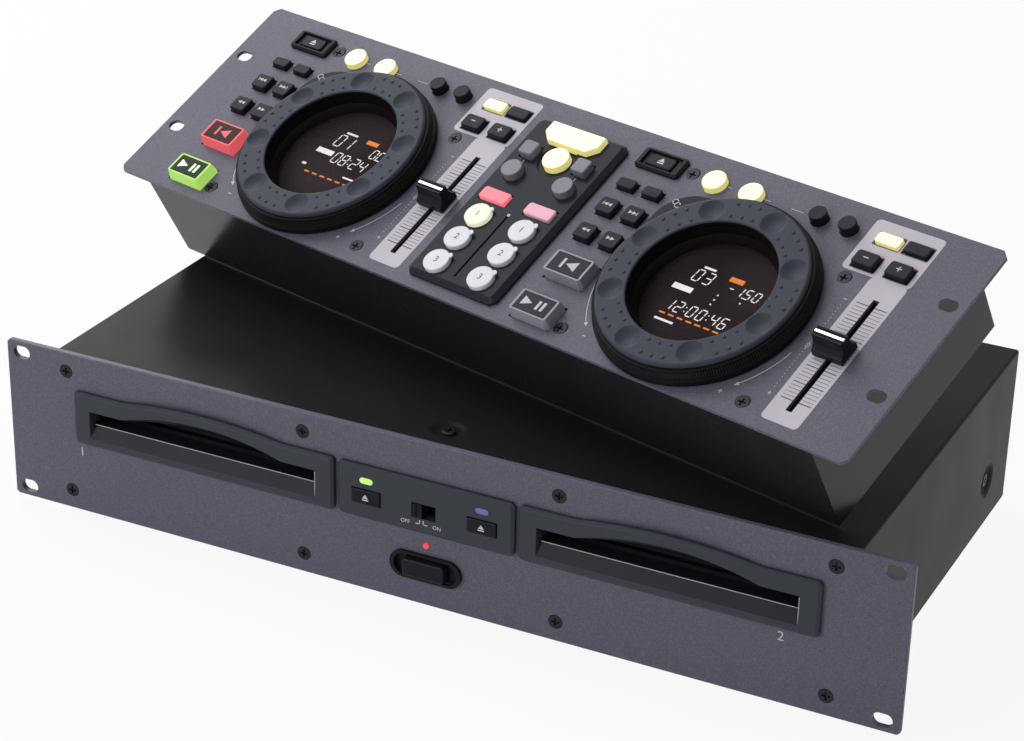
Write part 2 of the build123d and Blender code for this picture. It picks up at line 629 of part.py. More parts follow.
def power_bezel():
    """Stadium rim with a sunk floor round the power button."""
    ring = front(SlotOverall(*POWER_BEZEL), -POWER_RIM, 0)
    ring += front(SlotOverall(POWER_BEZEL[0] - 3.6, POWER_BEZEL[1] - 3.6), 0, FITTING_DEEP)
    ring -= front(SlotOverall(*POWER_WELL), -POWER_RIM - 1, 1.2)
    hole = Rectangle(POWER_BUTTON[0] + 2 * KEY_GAP, POWER_BUTTON[1] + 2 * KEY_GAP)
    return Pos(0, 0, POWER_Z) * (ring - front(hole, -1, FITTING_DEEP + 1))


def power_button():
    cap = front(cut_corners(*POWER_BUTTON, 1.0), -POWER_PROUD, FITTING_DEEP + POWER_STEM)
    return Pos(0, 0, POWER_Z) * eased(cap, -Axis.Y, 0.6)


def player_eject_button():
    end = KEY_SWITCH_Y - PLAYER_EJECT_TRAVEL - STANDING_GAP
    cap = front(cut_corners(*PLAYER_EJECT_SIZE, 0.5), -PLAYER_EJECT_PROUD, end)
    return Pos(0, 0, PLAYER_EJECT_Z) * eased(cap, -Axis.Y, 0.4)


def mode_switch():
    """Slide knob with a finger groove, at its left stop; a flat slider behind it closes the slot."""
    tip = -BEZEL_PROUD - SWITCH_PROUD
    back = FITTING_DEEP + SLIDER_GAP
    knob = front(Rectangle(*SWITCH_KNOB), tip, SWITCH_NECK)
    knob -= Pos(0, tip, 0) * Box(*SWITCH_GROOVE, SWITCH_KNOB[1] + 1)
    stem = front(Rectangle(*SWITCH_STEM), SWITCH_NECK, back)
    slider = front(Rectangle(SWITCH_SLOT[0] + SWITCH_TRAVEL, SWITCH_SLOT[1] + 2), back, back + SLIDER_THICK)
    return Pos(-SWITCH_TRAVEL / 2, 0, SWITCH_Z) * (knob + stem + slider)


def indicator_lenses():
    oval = front(SlotOverall(*LENS_SIZE), -BEZEL_PROUD - 0.4, FITTING_DEEP)
    pieces = [Pos(side * PLAYER_EJECT_X, 0, LENS_Z) * oval for side in (-1, 1)]
    return pieces + [Pos(0, 0, POWER_LAMP_Z) * front(Circle(POWER_LAMP_DIAMETER / 2), -1, WALL_BACK)]


# ---------------------------------------------------------------- loading drives
def deck_posts():
    reach_x, reach_y = DECK_SIZE[0] / 2 - 8, DECK_SIZE[1] - 16
    return [(x + sx * reach_x, DECK_FRONT + 8 + sy * reach_y) for _, x in BAYS for sx in (-1, 1) for sy in (0, 1)]


def drive_deck():
    """Sheet frame of one drive: roller bearings, clamp bridge, spindle motor and the pickup's rails."""
    width, depth = DECK_SIZE
    stand = (Align.CENTER, Align.CENTER, Align.MIN)
    frame = Pos(0, DECK_FRONT + depth / 2, DECK_BASE_Z) * Box(width, depth, DECK_SHEET, align=stand)
    window_end = PICKUP_FAR + PICKUP_SIZE[1] / 2
    frame -= Pos(0, (SPINDLE_Y + MOTOR_DIAMETER / 2 + window_end) / 2, DECK_BASE_Z) * Box(
        PICKUP_SIZE[0] + 4, window_end - SPINDLE_Y - MOTOR_DIAMETER / 2, 2 * DECK_SHEET + 1)
    for side in (-1, 1):
        wall = Box(DECK_SHEET, depth, DECK_TOP_Z - DECK_BASE_Z, align=(Align.CENTER, Align.MIN, Align.MIN))
        frame += Pos(side * (width - DECK_SHEET) / 2, DECK_FRONT, DECK_BASE_Z) * wall
    frame -= Pos(0, ROLLER_Y, ROLLER_Z) * Rot(0, 90, 0) * Cylinder(ROLLER_AXLE / 2 + SHAFT_PLAY, width + 4)
    frame += Pos(0, SPINDLE_Y, DECK_TOP_Z) * Box(width, 34, DECK_SHEET, align=stand)
    frame += Pos(0, SPINDLE_Y, 0) * up(Circle(CLAMP_DIAMETER / 2), CLAMP_BOTTOM, DECK_TOP_Z)
    near, far = PICKUP_NEAR - PICKUP_SIZE[1] / 2 - 7, PICKUP_FAR + PICKUP_SIZE[1] / 2 + 7
    for side in (-1, 1):
        rail = Rot(90, 0, 0) * Cylinder(RAIL_DIAMETER / 2, far - near)
        frame += Pos(side * RAIL_SPACING / 2, (near + far) / 2, RAIL_Z) * rail
        for y in (near, far):
            post = Box(7, 5, RAIL_Z + 2 - DECK_BASE_Z, align=stand)
            frame += Pos(side * RAIL_SPACING / 2, y, DECK_BASE_Z) * post
    motor = up(Circle(MOTOR_DIAMETER / 2), DECK_BASE_Z, MOTOR_TOP)
    motor -= up(Circle(SPINDLE_DIAMETER / 2 + SHAFT_PLAY), MOTOR_TOP - SHAFT_DEPTH - 1, MOTOR_TOP + 1)
    return frame + Pos(0, SPINDLE_Y, 0) * motor


def turntable():
    """Disc hub on its spindle: flange, centring boss, neck and the shaft down into the motor."""
    table = up(Circle(TURNTABLE_DIAMETER / 2), TURNTABLE_TOP - 2, TURNTABLE_TOP)
    table += up(Circle(DISC_BORE / 2 - 0.2), TURNTABLE_TOP, TURNTABLE_TOP + 2.2)
    table += up(Circle(5), MOTOR_TOP + STANDING_GAP, TURNTABLE_TOP - 2)
    table += up(Circle(SPINDLE_DIAMETER / 2), MOTOR_TOP - SHAFT_DEPTH, MOTOR_TOP + STANDING_GAP)
    return Pos(0, SPINDLE_Y, 0) * table


def loading_roller():
    """Waisted rubber roller, which touches a disc only at its edges, on its axle."""
    half = ROLLER_LENGTH / 2
    across = Plane.YZ
    end = across.offset(-half) * turned(ROLLER_ENDS)
    waist = across * turned(ROLLER_WAIST)
    arm = loft([end, waist], ruled=True)
    roller = arm + mirror(arm, Plane.YZ)
    axle = Rot(0, 90, 0) * Cylinder(ROLLER_AXLE / 2, DECK_SIZE[0])
    return Pos(0, ROLLER_Y, ROLLER_Z) * (roller + axle)


def laser_pickup():
    """Optical block with its round lens on two rail bushes, at the inner end of its travel."""
    width, depth, height = PICKUP_SIZE
    block = Pos(0, 0, PICKUP_TOP) * Box(width, depth, height, align=(Align.CENTER, Align.CENTER, Align.MAX))
    block += Pos(0, 0, RAIL_Z) * Box(RAIL_SPACING + 7, 12, 6)
    block += Pos(0, -LENS_OFFSET, 0) * up(Circle(4), PICKUP_TOP, PICKUP_TOP + 1)
    for side in (-1, 1):
        bore = Rot(90, 0, 0) * Cylinder(RAIL_DIAMETER / 2 + SHAFT_PLAY, depth + 2)
        block -= Pos(side * RAIL_SPACING / 2, 0, RAIL_Z) * bore
    return Pos(0, PICKUP_NEAR, 0) * block


# ---------------------------------------------------------------- controller keys
def key(size, rise):
    """One key: a straight body through the panel; a square key's upper rim is eased."""
    body = up(plan(size), -KEY_DROP, rise)
    return body if len(size) == 1 else eased(body, Axis.Z, 0.5)


def lit_key(size, rise):
    """Large lit key: a tapered clear body with a dark plate let into its top."""
    width, height = size
    outline = cut_corners(width, height, 1.6)
    crown = extrude(Pos(0, 0, LIT_KEY_BAND) * outline, amount=rise - LIT_KEY_BAND, taper=12)
    seat = Rectangle(width - 5.0, height - 4.0)
    plate = up(Rectangle(width - 5.2, height - 4.2), rise - 1.0, rise + 0.2)
    return [up(outline, -KEY_DROP, LIT_KEY_BAND) + crown - up(seat, rise - 1.0, rise + 1), plate]


def leaf_plan(grow=0.0):
    """Crescent plan that follows the dial's skirt, about the dial's centre."""
    def at(radius, angle):
        turn = math.radians(angle)
        return (radius * math.cos(turn), radius * math.sin(turn))
    low = LEAF_ANGLE - LEAF_SPREAD - grow
    high = LEAF_ANGLE + LEAF_SPREAD + grow
    inner = LEAF_INNER - grow
    inside = ThreePointArc(at(inner, low), at(inner, LEAF_ANGLE), at(inner, high))
    outside = ThreePointArc(at(inner, low), at(LEAF_OUTER + grow, LEAF_ANGLE), at(inner, high))
    return make_face(Curve() + [inside, outside])


def jog_mode_button():
    return up(leaf_plan(), -KEY_DROP, LEAF_RISE)


def sync_bar_plan(grow=0.0):
    bar = Rectangle(SYNC_BAR_SIZE[0] + 2 * grow, SYNC_BAR_SIZE[1] + 2 * grow)
    return chamfer(bar.vertices().group_by(Axis.Y)[0], SYNC_BAR_CUT)


def key_openings():
    """Every key opening of the two decks, with the running gap round the key."""
    openings = []
    for _, x in DECKS:
        for _, places, size, _ in DECK_KEYS:
            openings += [Pos(x + kx, ky) * opening(size) for kx, ky in places]
        openings.append(Pos(x + EJECT_KEY_AT[0], EJECT_KEY_AT[1]) * opening(EJECT_KEY_SIZE))
        openings.append(Pos(x + JOG_AT[0], JOG_AT[1]) * leaf_plan(KEY_GAP))
    return openings


def centre_openings():
    openings = [Pos(kx, ky) * opening(size) for _, places, size, _ in CENTRE_KEYS for kx, ky in places]
    return openings + [Pos(*SYNC_BAR_AT) * sync_bar_plan(KEY_GAP)]


# ---------------------------------------------------------------- controller shell
def controller_panel():
    """Sheet panel: rack slots, key and fader openings, and one opening under the centre plate."""
    face = cut_corners(RACK_WIDTH, CONTROL_PANEL_HEIGHT, 2 * PANEL_CORNER)
    for slot in rack_slots(CONTROL_SLOT_PITCH):
        face -= slot
    for hole in key_openings():
        face -= hole
    face -= Pos(*PLATE_AT) * Rectangle(PLATE_SIZE[0] - 2 * PLATE_LAND, PLATE_SIZE[1] - 2 * PLATE_LAND)
    for _, x in DECKS:
        face -= Pos(x + JOG_AT[0], JOG_AT[1]) * Circle(HUB_OUTSIDE + STANDING_GAP)
        face -= Pos(x + FADER_X, FADER_SLOT_Y) * Rectangle(*FADER_SLOT)
    panel = up(face, PANEL_UNDER, 0)
    hole = countersunk(SCREW_ROOM, CONTROL_PANEL_THICK + 1)
    for x, y in CONTROL_SCREWS:
        panel -= Pos(x, y, 0) * hole
    return panel


def controller_case():
    """Folded box below the panel, and the hexagonal pillars on its floor that take the panel's screws."""
    outer = up(Rectangle(CASE_WIDTH, CASE_HEIGHT), -CASE_DEPTH, PANEL_UNDER)
    case = outer - up(Rectangle(CASE_WIDTH - 2 * SHEET, CASE_HEIGHT - 2 * SHEET), SHEET - CASE_DEPTH, 0)
    for x in CONTROL_SOCKET_X:
        case -= Pos(x, CONTROL_SOCKET_Y, -CASE_DEPTH) * Cylinder(SOCKET_DIAMETER / 2 + FITTING_GAP, 4 * SHEET)
    pillar = up(hexagon(PILLAR_ACROSS), SHEET - CASE_DEPTH, PANEL_UNDER)
    pillar -= up(turned(SCREW_SHANK + SCREW_ROOM / 2, SHANK_SIDES), -SCREW_LENGTH - 2, 0)
    return [case] + [Pos(x, y, 0) * pillar for x, y in CONTROL_SCREWS]


def controller_sockets():
    places = [facing((0, 0, -1), x, CONTROL_SOCKET_Y, -CASE_DEPTH) for x in CONTROL_SOCKET_X]
    return [place * round_socket() for place in places]


def center_plate():
    """Raised black plate for the middle keys, with a dished round-key seat and a dividing groove."""
    width, height = PLATE_SIZE
    plate = eased(up(cut_corners(width, height, 3.0), 0, PLATE_RISE), Axis.Z, PLATE_EDGE)
    plate = Pos(*PLATE_AT, 0) * plate
    plate -= Pos(0, SYNC_ROUND_Y, 0) * up(Circle(SYNC_DISH / 2), PLATE_RISE - 1.0, PLATE_RISE + 1)
    for hole in centre_openings():
        plate -= up(hole, -1, PLATE_RISE + 1)
    groove_width, groove_length, groove_depth = GROOVE
    start = PLATE_AT[1] - height / 2 + GROOVE_START
    return plate - Pos(0, start, PLATE_RISE) * Box(
        groove_width, groove_length, 2 * groove_depth, align=(Align.CENTER, Align.MIN, Align.CENTER))


def eject_key_bezels():
    """Raised rims round the two eject keys, each with a sunk middle."""
    rim = eased(up(cut_corners(*EJECT_BEZEL_SIZE, 1.5), 0, EJECT_BEZEL_RISE), Axis.Z, 1.0)
    rim -= up(Rectangle(EJECT_BEZEL_SIZE[0] - 6, EJECT_BEZEL_SIZE[1] - 3.6), 1.0, 4)
    rim -= up(opening(EJECT_KEY_SIZE), -1, 4)
    return [Pos(x + EJECT_KEY_AT[0], EJECT_KEY_AT[1], 0) * rim for _, x in DECKS]


def key_places():
    """Centre of every key on the controller."""
    places = [SYNC_BAR_AT]
    for _, spots, _, _ in CENTRE_KEYS:
        places += list(spots)
    for _, x in DECKS:
        for _, spots, _, _ in DECK_KEYS:
            places += [(x + kx, ky) for kx, ky in spots]
        places.append((x + EJECT_KEY_AT[0], EJECT_KEY_AT[1]))
        leaf = (LEAF_INNER + LEAF_OUTER) / 2
        turn = math.radians(LEAF_ANGLE)
        places.append((x + JOG_AT[0] + leaf * math.cos(turn), JOG_AT[1] + leaf * math.sin(turn)))
    return places


def controller_board():
    """Circuit board on the pillars, with a switch under every key, fader tracks and display modules."""
    face = Rectangle(CASE_WIDTH - 2 * SHEET - 4, CASE_HEIGHT - 2 * SHEET - 2)
    for x, y in CONTROL_SCREWS:
        face -= Pos(x, y) * hexagon(PILLAR_ACROSS + 0.6)
    switch = Box(SWITCH_BODY, SWITCH_BODY, SWITCH_TOP - BOARD_TOP, align=(Align.CENTER, Align.CENTER, Align.MIN))
    pieces = [up(face, BOARD_TOP - BOARD_THICK, BOARD_TOP)]
    pieces += [Pos(x, y, BOARD_TOP) * switch for x, y in key_places()]
    groove = Rectangle(FADER_STEM[0] + 0.8, FADER_TRACK[1] - 6)
    track = up(Rectangle(*FADER_TRACK) - groove, BOARD_TOP, PANEL_UNDER - 0.4)
    module = up(RegularPolygon(JOG_OPENING - 2.2, 24), BOARD_TOP, DISPLAY_TOP)
    for _, x in DECKS:
        pieces.append(Pos(x + FADER_X, FADER_SLOT_Y, 0) * track)
        pieces.append(Pos(x + JOG_AT[0], JOG_AT[1], 0) * module)
    return pieces


def controller_screws():
    return [Pos(x, y, 0) * countersunk() for x, y in CONTROL_SCREWS]


# ---------------------------------------------------------------- jog dials and faders
def jog_hub():
    """Fixed sleeve on the board: the dial turns on its outside, the window lies on its inner ledge."""
    ledge = WINDOW_TOP - WINDOW_THICK
    hub = up(Circle(HUB_OUTSIDE), BOARD_TOP, HUB_TOP) - up(Circle(JOG_OPENING), ledge, HUB_TOP + 1)
    return hub - up(Circle(JOG_OPENING - 1.6), BOARD_TOP - 1, ledge + 1)


def display_window():
    return up(Circle(JOG_OPENING - 0.1), WINDOW_TOP - WINDOW_THICK, WINDOW_TOP)


def jog_dial():
    """Dial: dished face, rim, flared skirt and the inner sleeve that runs on the hub."""
    bore = HUB_OUTSIDE + BEARING_PLAY
    under = JOG_HEIGHT - JOG_FACE_THICK
    outline = Polyline((JOG_OPENING, under), (JOG_OPENING, JOG_HEIGHT), (JOG_FACE - 1.0, JOG_HEIGHT),
                       (JOG_FACE, JOG_HEIGHT - 1.0), (JOG_FACE, JOG_RIM_TOP), (JOG_RIM, JOG_RIM_TOP),
                       (JOG_RIM, JOG_SKIRT_TOP), (JOG_SKIRT, JOG_SKIRT_TOP), (JOG_SKIRT, JOG_FLOAT),
                       (JOG_SKIRT - 3.5, JOG_FLOAT), (JOG_SKIRT - 3.5, under - 1.5),
                       (bore + BEARING_WALL, under - 1.5), (bore + BEARING_WALL, JOG_FLOAT),
                       (bore, JOG_FLOAT), (bore, under), (JOG_OPENING, under))
    dial = revolve(Plane.XZ * make_face(outline), Axis.Z)
    ball = (DIMPLE_DIAMETER ** 2 / 4 + DIMPLE_DEPTH ** 2) / (2 * DIMPLE_DEPTH)
    hollow = Pos(DIMPLE_CIRCLE, 0, JOG_HEIGHT - DIMPLE_DEPTH + ball) * Sphere(ball)
    for step in range(DIMPLE_COUNT):
        dial -= Rot(0, 0, step * 360 / DIMPLE_COUNT) * hollow
    return dial


def tempo_fader():
    """Fader knob: waisted flanks, three grooves on its crest, and a blade down into the track."""
    width, foot, height = FADER_KNOB
    base, top = FADER_FLOAT, FADER_FLOAT + height
    crest = FADER_CREST / 2
    flank = ThreePointArc((foot / 2, base + 3.2), (foot / 2 - 2.4, base + 5.6), (crest, top))
    other = ThreePointArc((-crest, top), (2.4 - foot / 2, base + 5.6), (-foot / 2, base + 3.2))
    rest = Polyline((-foot / 2, base + 3.2), (-foot / 2, base), (foot / 2, base), (foot / 2, base + 3.2))
    side = make_face(Curve() + [flank, Line((crest, top), (-crest, top)), other, rest])
    knob = extrude(Plane.YZ.offset(-width / 2) * side, amount=width)
    for y in (-1.6, 0.0, 1.6):
        knob -= Pos(0, y, top) * Box(width + 1, 0.6, 1.0)
    blade = up(Rectangle(*FADER_STEM), BOARD_TOP + 1.5, base)
    return Pos(0, FADER_SLOT_Y + FADER_REST, 0) * (knob + blade)


# ---------------------------------------------------------------- the whole assembly
def add(node, pieces, place=None):
    solids = pieces if isinstance(pieces, list) else [pieces]
    PARTS.setdefault(node, []).extend(place * solid if place else solid for solid in solids)


def assemble_player():
    add("player_front_panel", player_front_panel())
    add("player_chassis", player_chassis())
    add("player_top_cover", player_top_cover())
    add("player_rear_panel", player_rear_panel())
    add("player_feet", player_feet())
    add("player_screws", player_screws())
    add("player_electronics", player_electronics())
    add("rear_connectors", rear_connectors())
    add("center_fascia", center_fascia())
    add("power_bezel", power_bezel())
    add("power_button", power_button())
    add("mode_switch", mode_switch())
    add("indicator_lenses", indicator_lenses())
    for name, x in BAYS:
        add(f"slot_bezel_{name}", slot_bezel(), Pos(x, 0, BEZEL_Z))
        add(f"drive_deck_{name}", drive_deck(), Pos(x, 0, 0))
        add(f"turntable_{name}", turntable(), Pos(x, 0, 0))
        add(f"loading_roller_{name}", loading_roller(), Pos(x, 0, 0))
        add(f"laser_pickup_{name}", laser_pickup(), Pos(x, 0, 0))
        add(f"player_eject_button_{name}", player_eject_button(), Pos(math.copysign(PLAYER_EJECT_X, x), 0, 0))


def assemble_controller():
    fixed = (("controller_panel", controller_panel), ("controller_case", controller_case),
             ("center_plate", center_plate), ("controller_screws", controller_screws),
             ("controller_board", controller_board), ("eject_key_bezels", eject_key_bezels),
             ("controller_sockets", controller_sockets))
    for node, make in fixed:
        add(node, make(), CONTROL_PLACE)
    for node, places, size, rise in CENTRE_KEYS:
        for x, y in places:
            add(node, key(size, rise), CONTROL_PLACE * Pos(x, y, 0))
    bar = eased(up(sync_bar_plan(), -KEY_DROP, SYNC_BAR_RISE), Axis.Z, 0.6)
    add("sync_bar_button", bar, CONTROL_PLACE * Pos(*SYNC_BAR_AT, 0))
    for name, x in DECKS:
        assemble_deck(name, CONTROL_PLACE * Pos(x, 0, 0))


def assemble_deck(name, place):
    for node, places, size, rise in DECK_KEYS:
        target = node if node == "display_buttons" else f"{node}_{name}"
        for x, y in places:
            large = node in ("cue_button", "play_button")
            add(target, lit_key(size, rise) if large else key(size, rise), place * Pos(x, y, 0))
    add(f"eject_button_{name}", key(EJECT_KEY_SIZE, EJECT_KEY_RISE), place * Pos(*EJECT_KEY_AT, 0))
    dial = place * Pos(*JOG_AT, 0)
    add(f"jog_mode_button_{name}", jog_mode_button(), dial)
    add(f"jog_dial_{name}", jog_dial(), dial * Rot(0, 0, DIAL_TURNS[name]))
    add("jog_hubs", jog_hub(), dial)
    add("display_windows", display_window(), dial)
    add(f"tempo_fader_{name}", tempo_fader(), place * Pos(FADER_X, 0, 0))


def write_parts():
    os.makedirs("parts", exist_ok=True)
    for node, pieces in PARTS.items():
        solids = [solid for piece in pieces for solid in piece.solids()]
        export_step(Compound(children=solids) if len(solids) > 1 else solids[0], f"parts/{node}.step")


assemble_player()
assemble_controller()
write_parts()
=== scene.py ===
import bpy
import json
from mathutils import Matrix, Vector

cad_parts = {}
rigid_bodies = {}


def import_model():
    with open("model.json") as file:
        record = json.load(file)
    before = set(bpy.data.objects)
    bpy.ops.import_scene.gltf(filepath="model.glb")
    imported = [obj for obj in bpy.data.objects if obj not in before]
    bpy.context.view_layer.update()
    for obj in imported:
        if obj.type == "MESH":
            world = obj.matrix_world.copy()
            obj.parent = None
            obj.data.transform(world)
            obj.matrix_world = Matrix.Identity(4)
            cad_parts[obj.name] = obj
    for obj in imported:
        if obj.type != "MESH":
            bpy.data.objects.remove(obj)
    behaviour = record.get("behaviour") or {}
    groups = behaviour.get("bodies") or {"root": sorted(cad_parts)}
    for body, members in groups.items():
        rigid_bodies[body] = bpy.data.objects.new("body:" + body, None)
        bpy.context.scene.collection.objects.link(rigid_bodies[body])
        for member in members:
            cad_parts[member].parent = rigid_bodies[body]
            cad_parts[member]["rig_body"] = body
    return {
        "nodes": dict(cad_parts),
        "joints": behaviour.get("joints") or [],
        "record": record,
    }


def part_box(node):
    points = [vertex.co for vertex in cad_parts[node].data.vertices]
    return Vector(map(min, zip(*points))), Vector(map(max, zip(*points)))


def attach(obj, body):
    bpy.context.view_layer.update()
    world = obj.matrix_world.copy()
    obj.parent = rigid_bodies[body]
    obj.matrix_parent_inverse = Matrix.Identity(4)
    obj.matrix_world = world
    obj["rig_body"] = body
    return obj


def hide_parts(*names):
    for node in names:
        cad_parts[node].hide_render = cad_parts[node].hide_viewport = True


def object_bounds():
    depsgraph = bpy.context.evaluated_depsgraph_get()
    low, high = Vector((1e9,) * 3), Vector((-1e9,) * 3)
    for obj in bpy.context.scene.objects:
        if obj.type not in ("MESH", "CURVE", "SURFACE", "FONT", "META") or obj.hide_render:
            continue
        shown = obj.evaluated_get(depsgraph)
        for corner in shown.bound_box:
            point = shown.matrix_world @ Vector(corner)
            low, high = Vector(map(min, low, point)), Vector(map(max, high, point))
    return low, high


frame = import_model()
cad_box = [list(corner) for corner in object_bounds()]

import json
import math
import bmesh
import bpy
from mathutils import Matrix, Vector


# ---------------- camera
# A long lens looks down on the set from its right front corner, turned by about one degree.
# The place and the turn come from the corners and slots of the two rack panels.
mm = 0.001
CAMERA_PLACE = Vector((525.6, -992.5, 622.25)) * mm
CAMERA_RIGHT = Vector((0.895, 0.446, 0.021))
CAMERA_FORWARD = Vector((-0.394, 0.811, -0.433))
CAMERA_LENS = 94.25

scene = bpy.context.scene
back = -CAMERA_FORWARD.normalized()
upward = back.cross(CAMERA_RIGHT).normalized()
camera_turn = Matrix((upward.cross(back), upward, back)).transposed().to_4x4()
camera = bpy.data.objects.new("camera", bpy.data.cameras.new("camera"))
camera.data.lens = CAMERA_LENS
camera.matrix_world = Matrix.Translation(CAMERA_PLACE) @ camera_turn
scene.collection.objects.link(camera)
scene.camera = camera
scene.view_settings.view_transform = "Standard"


# ---------------- floor and light
# A plain pale floor that keeps the shadow of the set, under a white surround.
# A wide soft box hangs over the left side, one stands at the left front, and a small one behind.
FLOOR_SIZE = 30.0
FLOOR_COLOUR = (0.94, 0.94, 0.95, 1)
FLOOR_GLOW = 0.9
SURROUND_LIGHT = 0.30
WHITE = (1, 1, 1, 1)
# Each lamp: name, place, target, size in metres, watts.
LAMPS = (
    ("overhead", (-1.1, 0.5, 1.5), (0, 0.1, 0.1), 1.5, 19),
    ("front", (-1.2, -2.0, 1.0), (0, 0.0, 0.05), 1.2, 18),
    ("behind", (-1.7, 2.0, 1.2), (-0.1, 0.1, 0.05), 0.8, 8),
)


def feed(tree, inputs, values):
    """Gives each named input a socket to be linked from, or a plain value."""
    for label, value in dict(values).items():
        if isinstance(value, bpy.types.NodeSocket):
            tree.links.new(value, inputs[label])
        else:
            inputs[label].default_value = value


def wired(tree, kind, values=(), **settings):
    """Adds a node to a tree, with its settings made and its inputs fed."""
    node = tree.nodes.new(kind)
    for name, value in settings.items():
        setattr(node, name, value)
    feed(tree, node.inputs, values)
    return node


def first(tree, kind, values=(), **settings):
    """Adds a node and gives its first output."""
    return wired(tree, kind, values, **settings).outputs[0]


def worked(tree, operation, *sides):
    """One sum in a tree; each side is a socket or a number."""
    return first(tree, "ShaderNodeMath", enumerate(sides), operation=operation)


def blank(name):
    """A new material, with its tree and its shader."""
    material = bpy.data.materials.new(name)
    material.use_nodes = True
    return material, material.node_tree, material.node_tree.nodes["Principled BSDF"]


def seen_rays(tree):
    """A mask of the rays that should meet plain white: straight, mirrored and passing through."""
    path = wired(tree, "ShaderNodeLightPath").outputs
    straight = worked(tree, "MAXIMUM", path["Is Camera Ray"], path["Is Glossy Ray"])
    return worked(tree, "MAXIMUM", straight, path["Is Transmission Ray"])


def ended(tree, end, mask, plain, masked):
    """Ends a tree with a plain shader, or with another one where a mask says so."""
    choice = first(tree, "ShaderNodeMixShader", {0: mask, 1: plain.outputs[0], 2: masked})
    feed(tree, tree.nodes[end].inputs, {"Surface": choice})


scene.world = bpy.data.worlds.new("surround")
scene.world.use_nodes = True
tree = scene.world.node_tree
plain = tree.nodes["Background"]
feed(tree, plain.inputs, {"Color": WHITE, "Strength": SURROUND_LIGHT})
white = first(tree, "ShaderNodeBackground", {"Color": WHITE, "Strength": 1})
ended(tree, "World Output", seen_rays(tree), plain, white)

reach, level = FLOOR_SIZE / 2, cad_box[0][2]
floor_mesh = bpy.data.meshes.new("floor")
floor_mesh.from_pydata([(x * reach, y * reach, level) for x, y in ((-1, -1), (1, -1), (1, 1), (-1, 1))],
                       [], [(0, 1, 2, 3)])
floor = bpy.data.objects.new("floor", floor_mesh)
scene.collection.objects.link(floor)
floor_paint, tree, matt = blank("floor_paint")
feed(tree, matt.inputs, {"Base Color": FLOOR_COLOUR, "Roughness": 0.9, "Specular IOR Level": 0.1})
glow = first(tree, "ShaderNodeEmission", {"Strength": 1})
ended(tree, "Material Output", worked(tree, "MULTIPLY", seen_rays(tree), FLOOR_GLOW), matt, glow)
floor_mesh.materials.append(floor_paint)

for name, place, target, size, power in LAMPS:
    lamp = bpy.data.objects.new(name, bpy.data.lights.new(name, "AREA"))
    lamp.data.size = size
    lamp.data.energy = power
    lamp.location = place
    lamp.rotation_euler = (Vector(target) - Vector(place)).to_track_quat("-Z", "Y").to_euler()
    scene.collection.objects.link(lamp)


# ---------------- player: cover, rear panel and feet
# The cover is one folded steel sheet with satin black paint, its top and both sides in one piece,
# held by a dished screw in the top and one in each side. The rear panel has the same paint.
COVER_BLACK = (0.016, 0.016, 0.018)
BUMP_REACH = 0.0001
CLOUD_DETAIL = 4.0
SURFACE = (("Colour", "Color"), ("Roughness", "Float"), ("Normal", "Vector"))
WELD = 2e-6
FLAT_WITHIN, ROUND_OVER, SHARP_OVER = math.radians(0.6), math.radians(32), math.radians(50)


def new_tree(name, kind, inputs, outputs):
    """A node group with named inputs (name, kind and maybe a value) and outputs (name, kind)."""
    tree = bpy.data.node_groups.new(name, kind)
    for label, sort, *value in inputs:
        socket = tree.interface.new_socket(label, in_out="INPUT", socket_type="NodeSocket" + sort)
        if value:
            socket.default_value = value[0]
    for label, sort in outputs:
        tree.interface.new_socket(label, in_out="OUTPUT", socket_type="NodeSocket" + sort)
    return tree, tree.nodes.new("NodeGroupInput").outputs, tree.nodes.new("NodeGroupOutput").inputs


def noise(tree, scale, detail=2.0):
    """Noise by the place on the object, its scale per metre."""
    place = wired(tree, "ShaderNodeTexCoord").outputs["Object"]
    return first(tree, "ShaderNodeTexNoise", {"Vector": place, "Scale": scale, "Detail": detail})


def spread(tree, value, low, high):
    """Spreads the middle half of a 0 to 1 value over low to high."""
    return first(tree, "ShaderNodeMapRange", {
        "Value": value, "From Min": 0.25, "From Max": 0.75, "To Min": low, "To Max": high})


def relief(tree, depth, height):
    """The normal of a fine relief."""
    values = {"Distance": BUMP_REACH, "Strength": depth, "Height": height}
    return first(tree, "ShaderNodeBump", values)


def blended(tree, factor, first, second):
    """A colour between two others."""
    values = {"Factor": factor, "A": first, "B": second}
    return wired(tree, "ShaderNodeMix", values, data_type="RGBA").outputs["Result"]


def surface_tree():
    """Paint or moulded plastic: fine grain in its bump, and soft clouds in its colour and gloss."""
    tree, given, made = new_tree("moulded_surface", "ShaderNodeTree", (
        ("Colour", "Color"), ("Cloud Colour", "Color"), ("Grain Scale", "Float"), ("Grain Depth", "Float"),
        ("Cloud Scale", "Float", 30.0), ("Smooth", "Float"), ("Rough", "Float")), SURFACE)
    grain = noise(tree, given["Grain Scale"], 1.0)
    cloud = noise(tree, given["Cloud Scale"], CLOUD_DETAIL)
    feed(tree, made, {
        "Colour": blended(tree, cloud, given["Colour"], given["Cloud Colour"]),
        "Roughness": spread(tree, cloud, given["Smooth"], given["Rough"]),
        "Normal": relief(tree, given["Grain Depth"], grain)})
    return tree


def covered(name, group, values, level, metallic=0.0):
    """A material whose colour, gloss and relief come from a node group."""
    material, tree, shader = blank(name)
    surface = wired(tree, "ShaderNodeGroup", values, node_tree=group).outputs
    feed(tree, shader.inputs, {
        "Metallic": metallic, "Specular IOR Level": level, "Base Color": surface["Colour"],
        "Roughness": surface["Roughness"], "Normal": surface["Normal"]})
    return material


moulded = surface_tree()


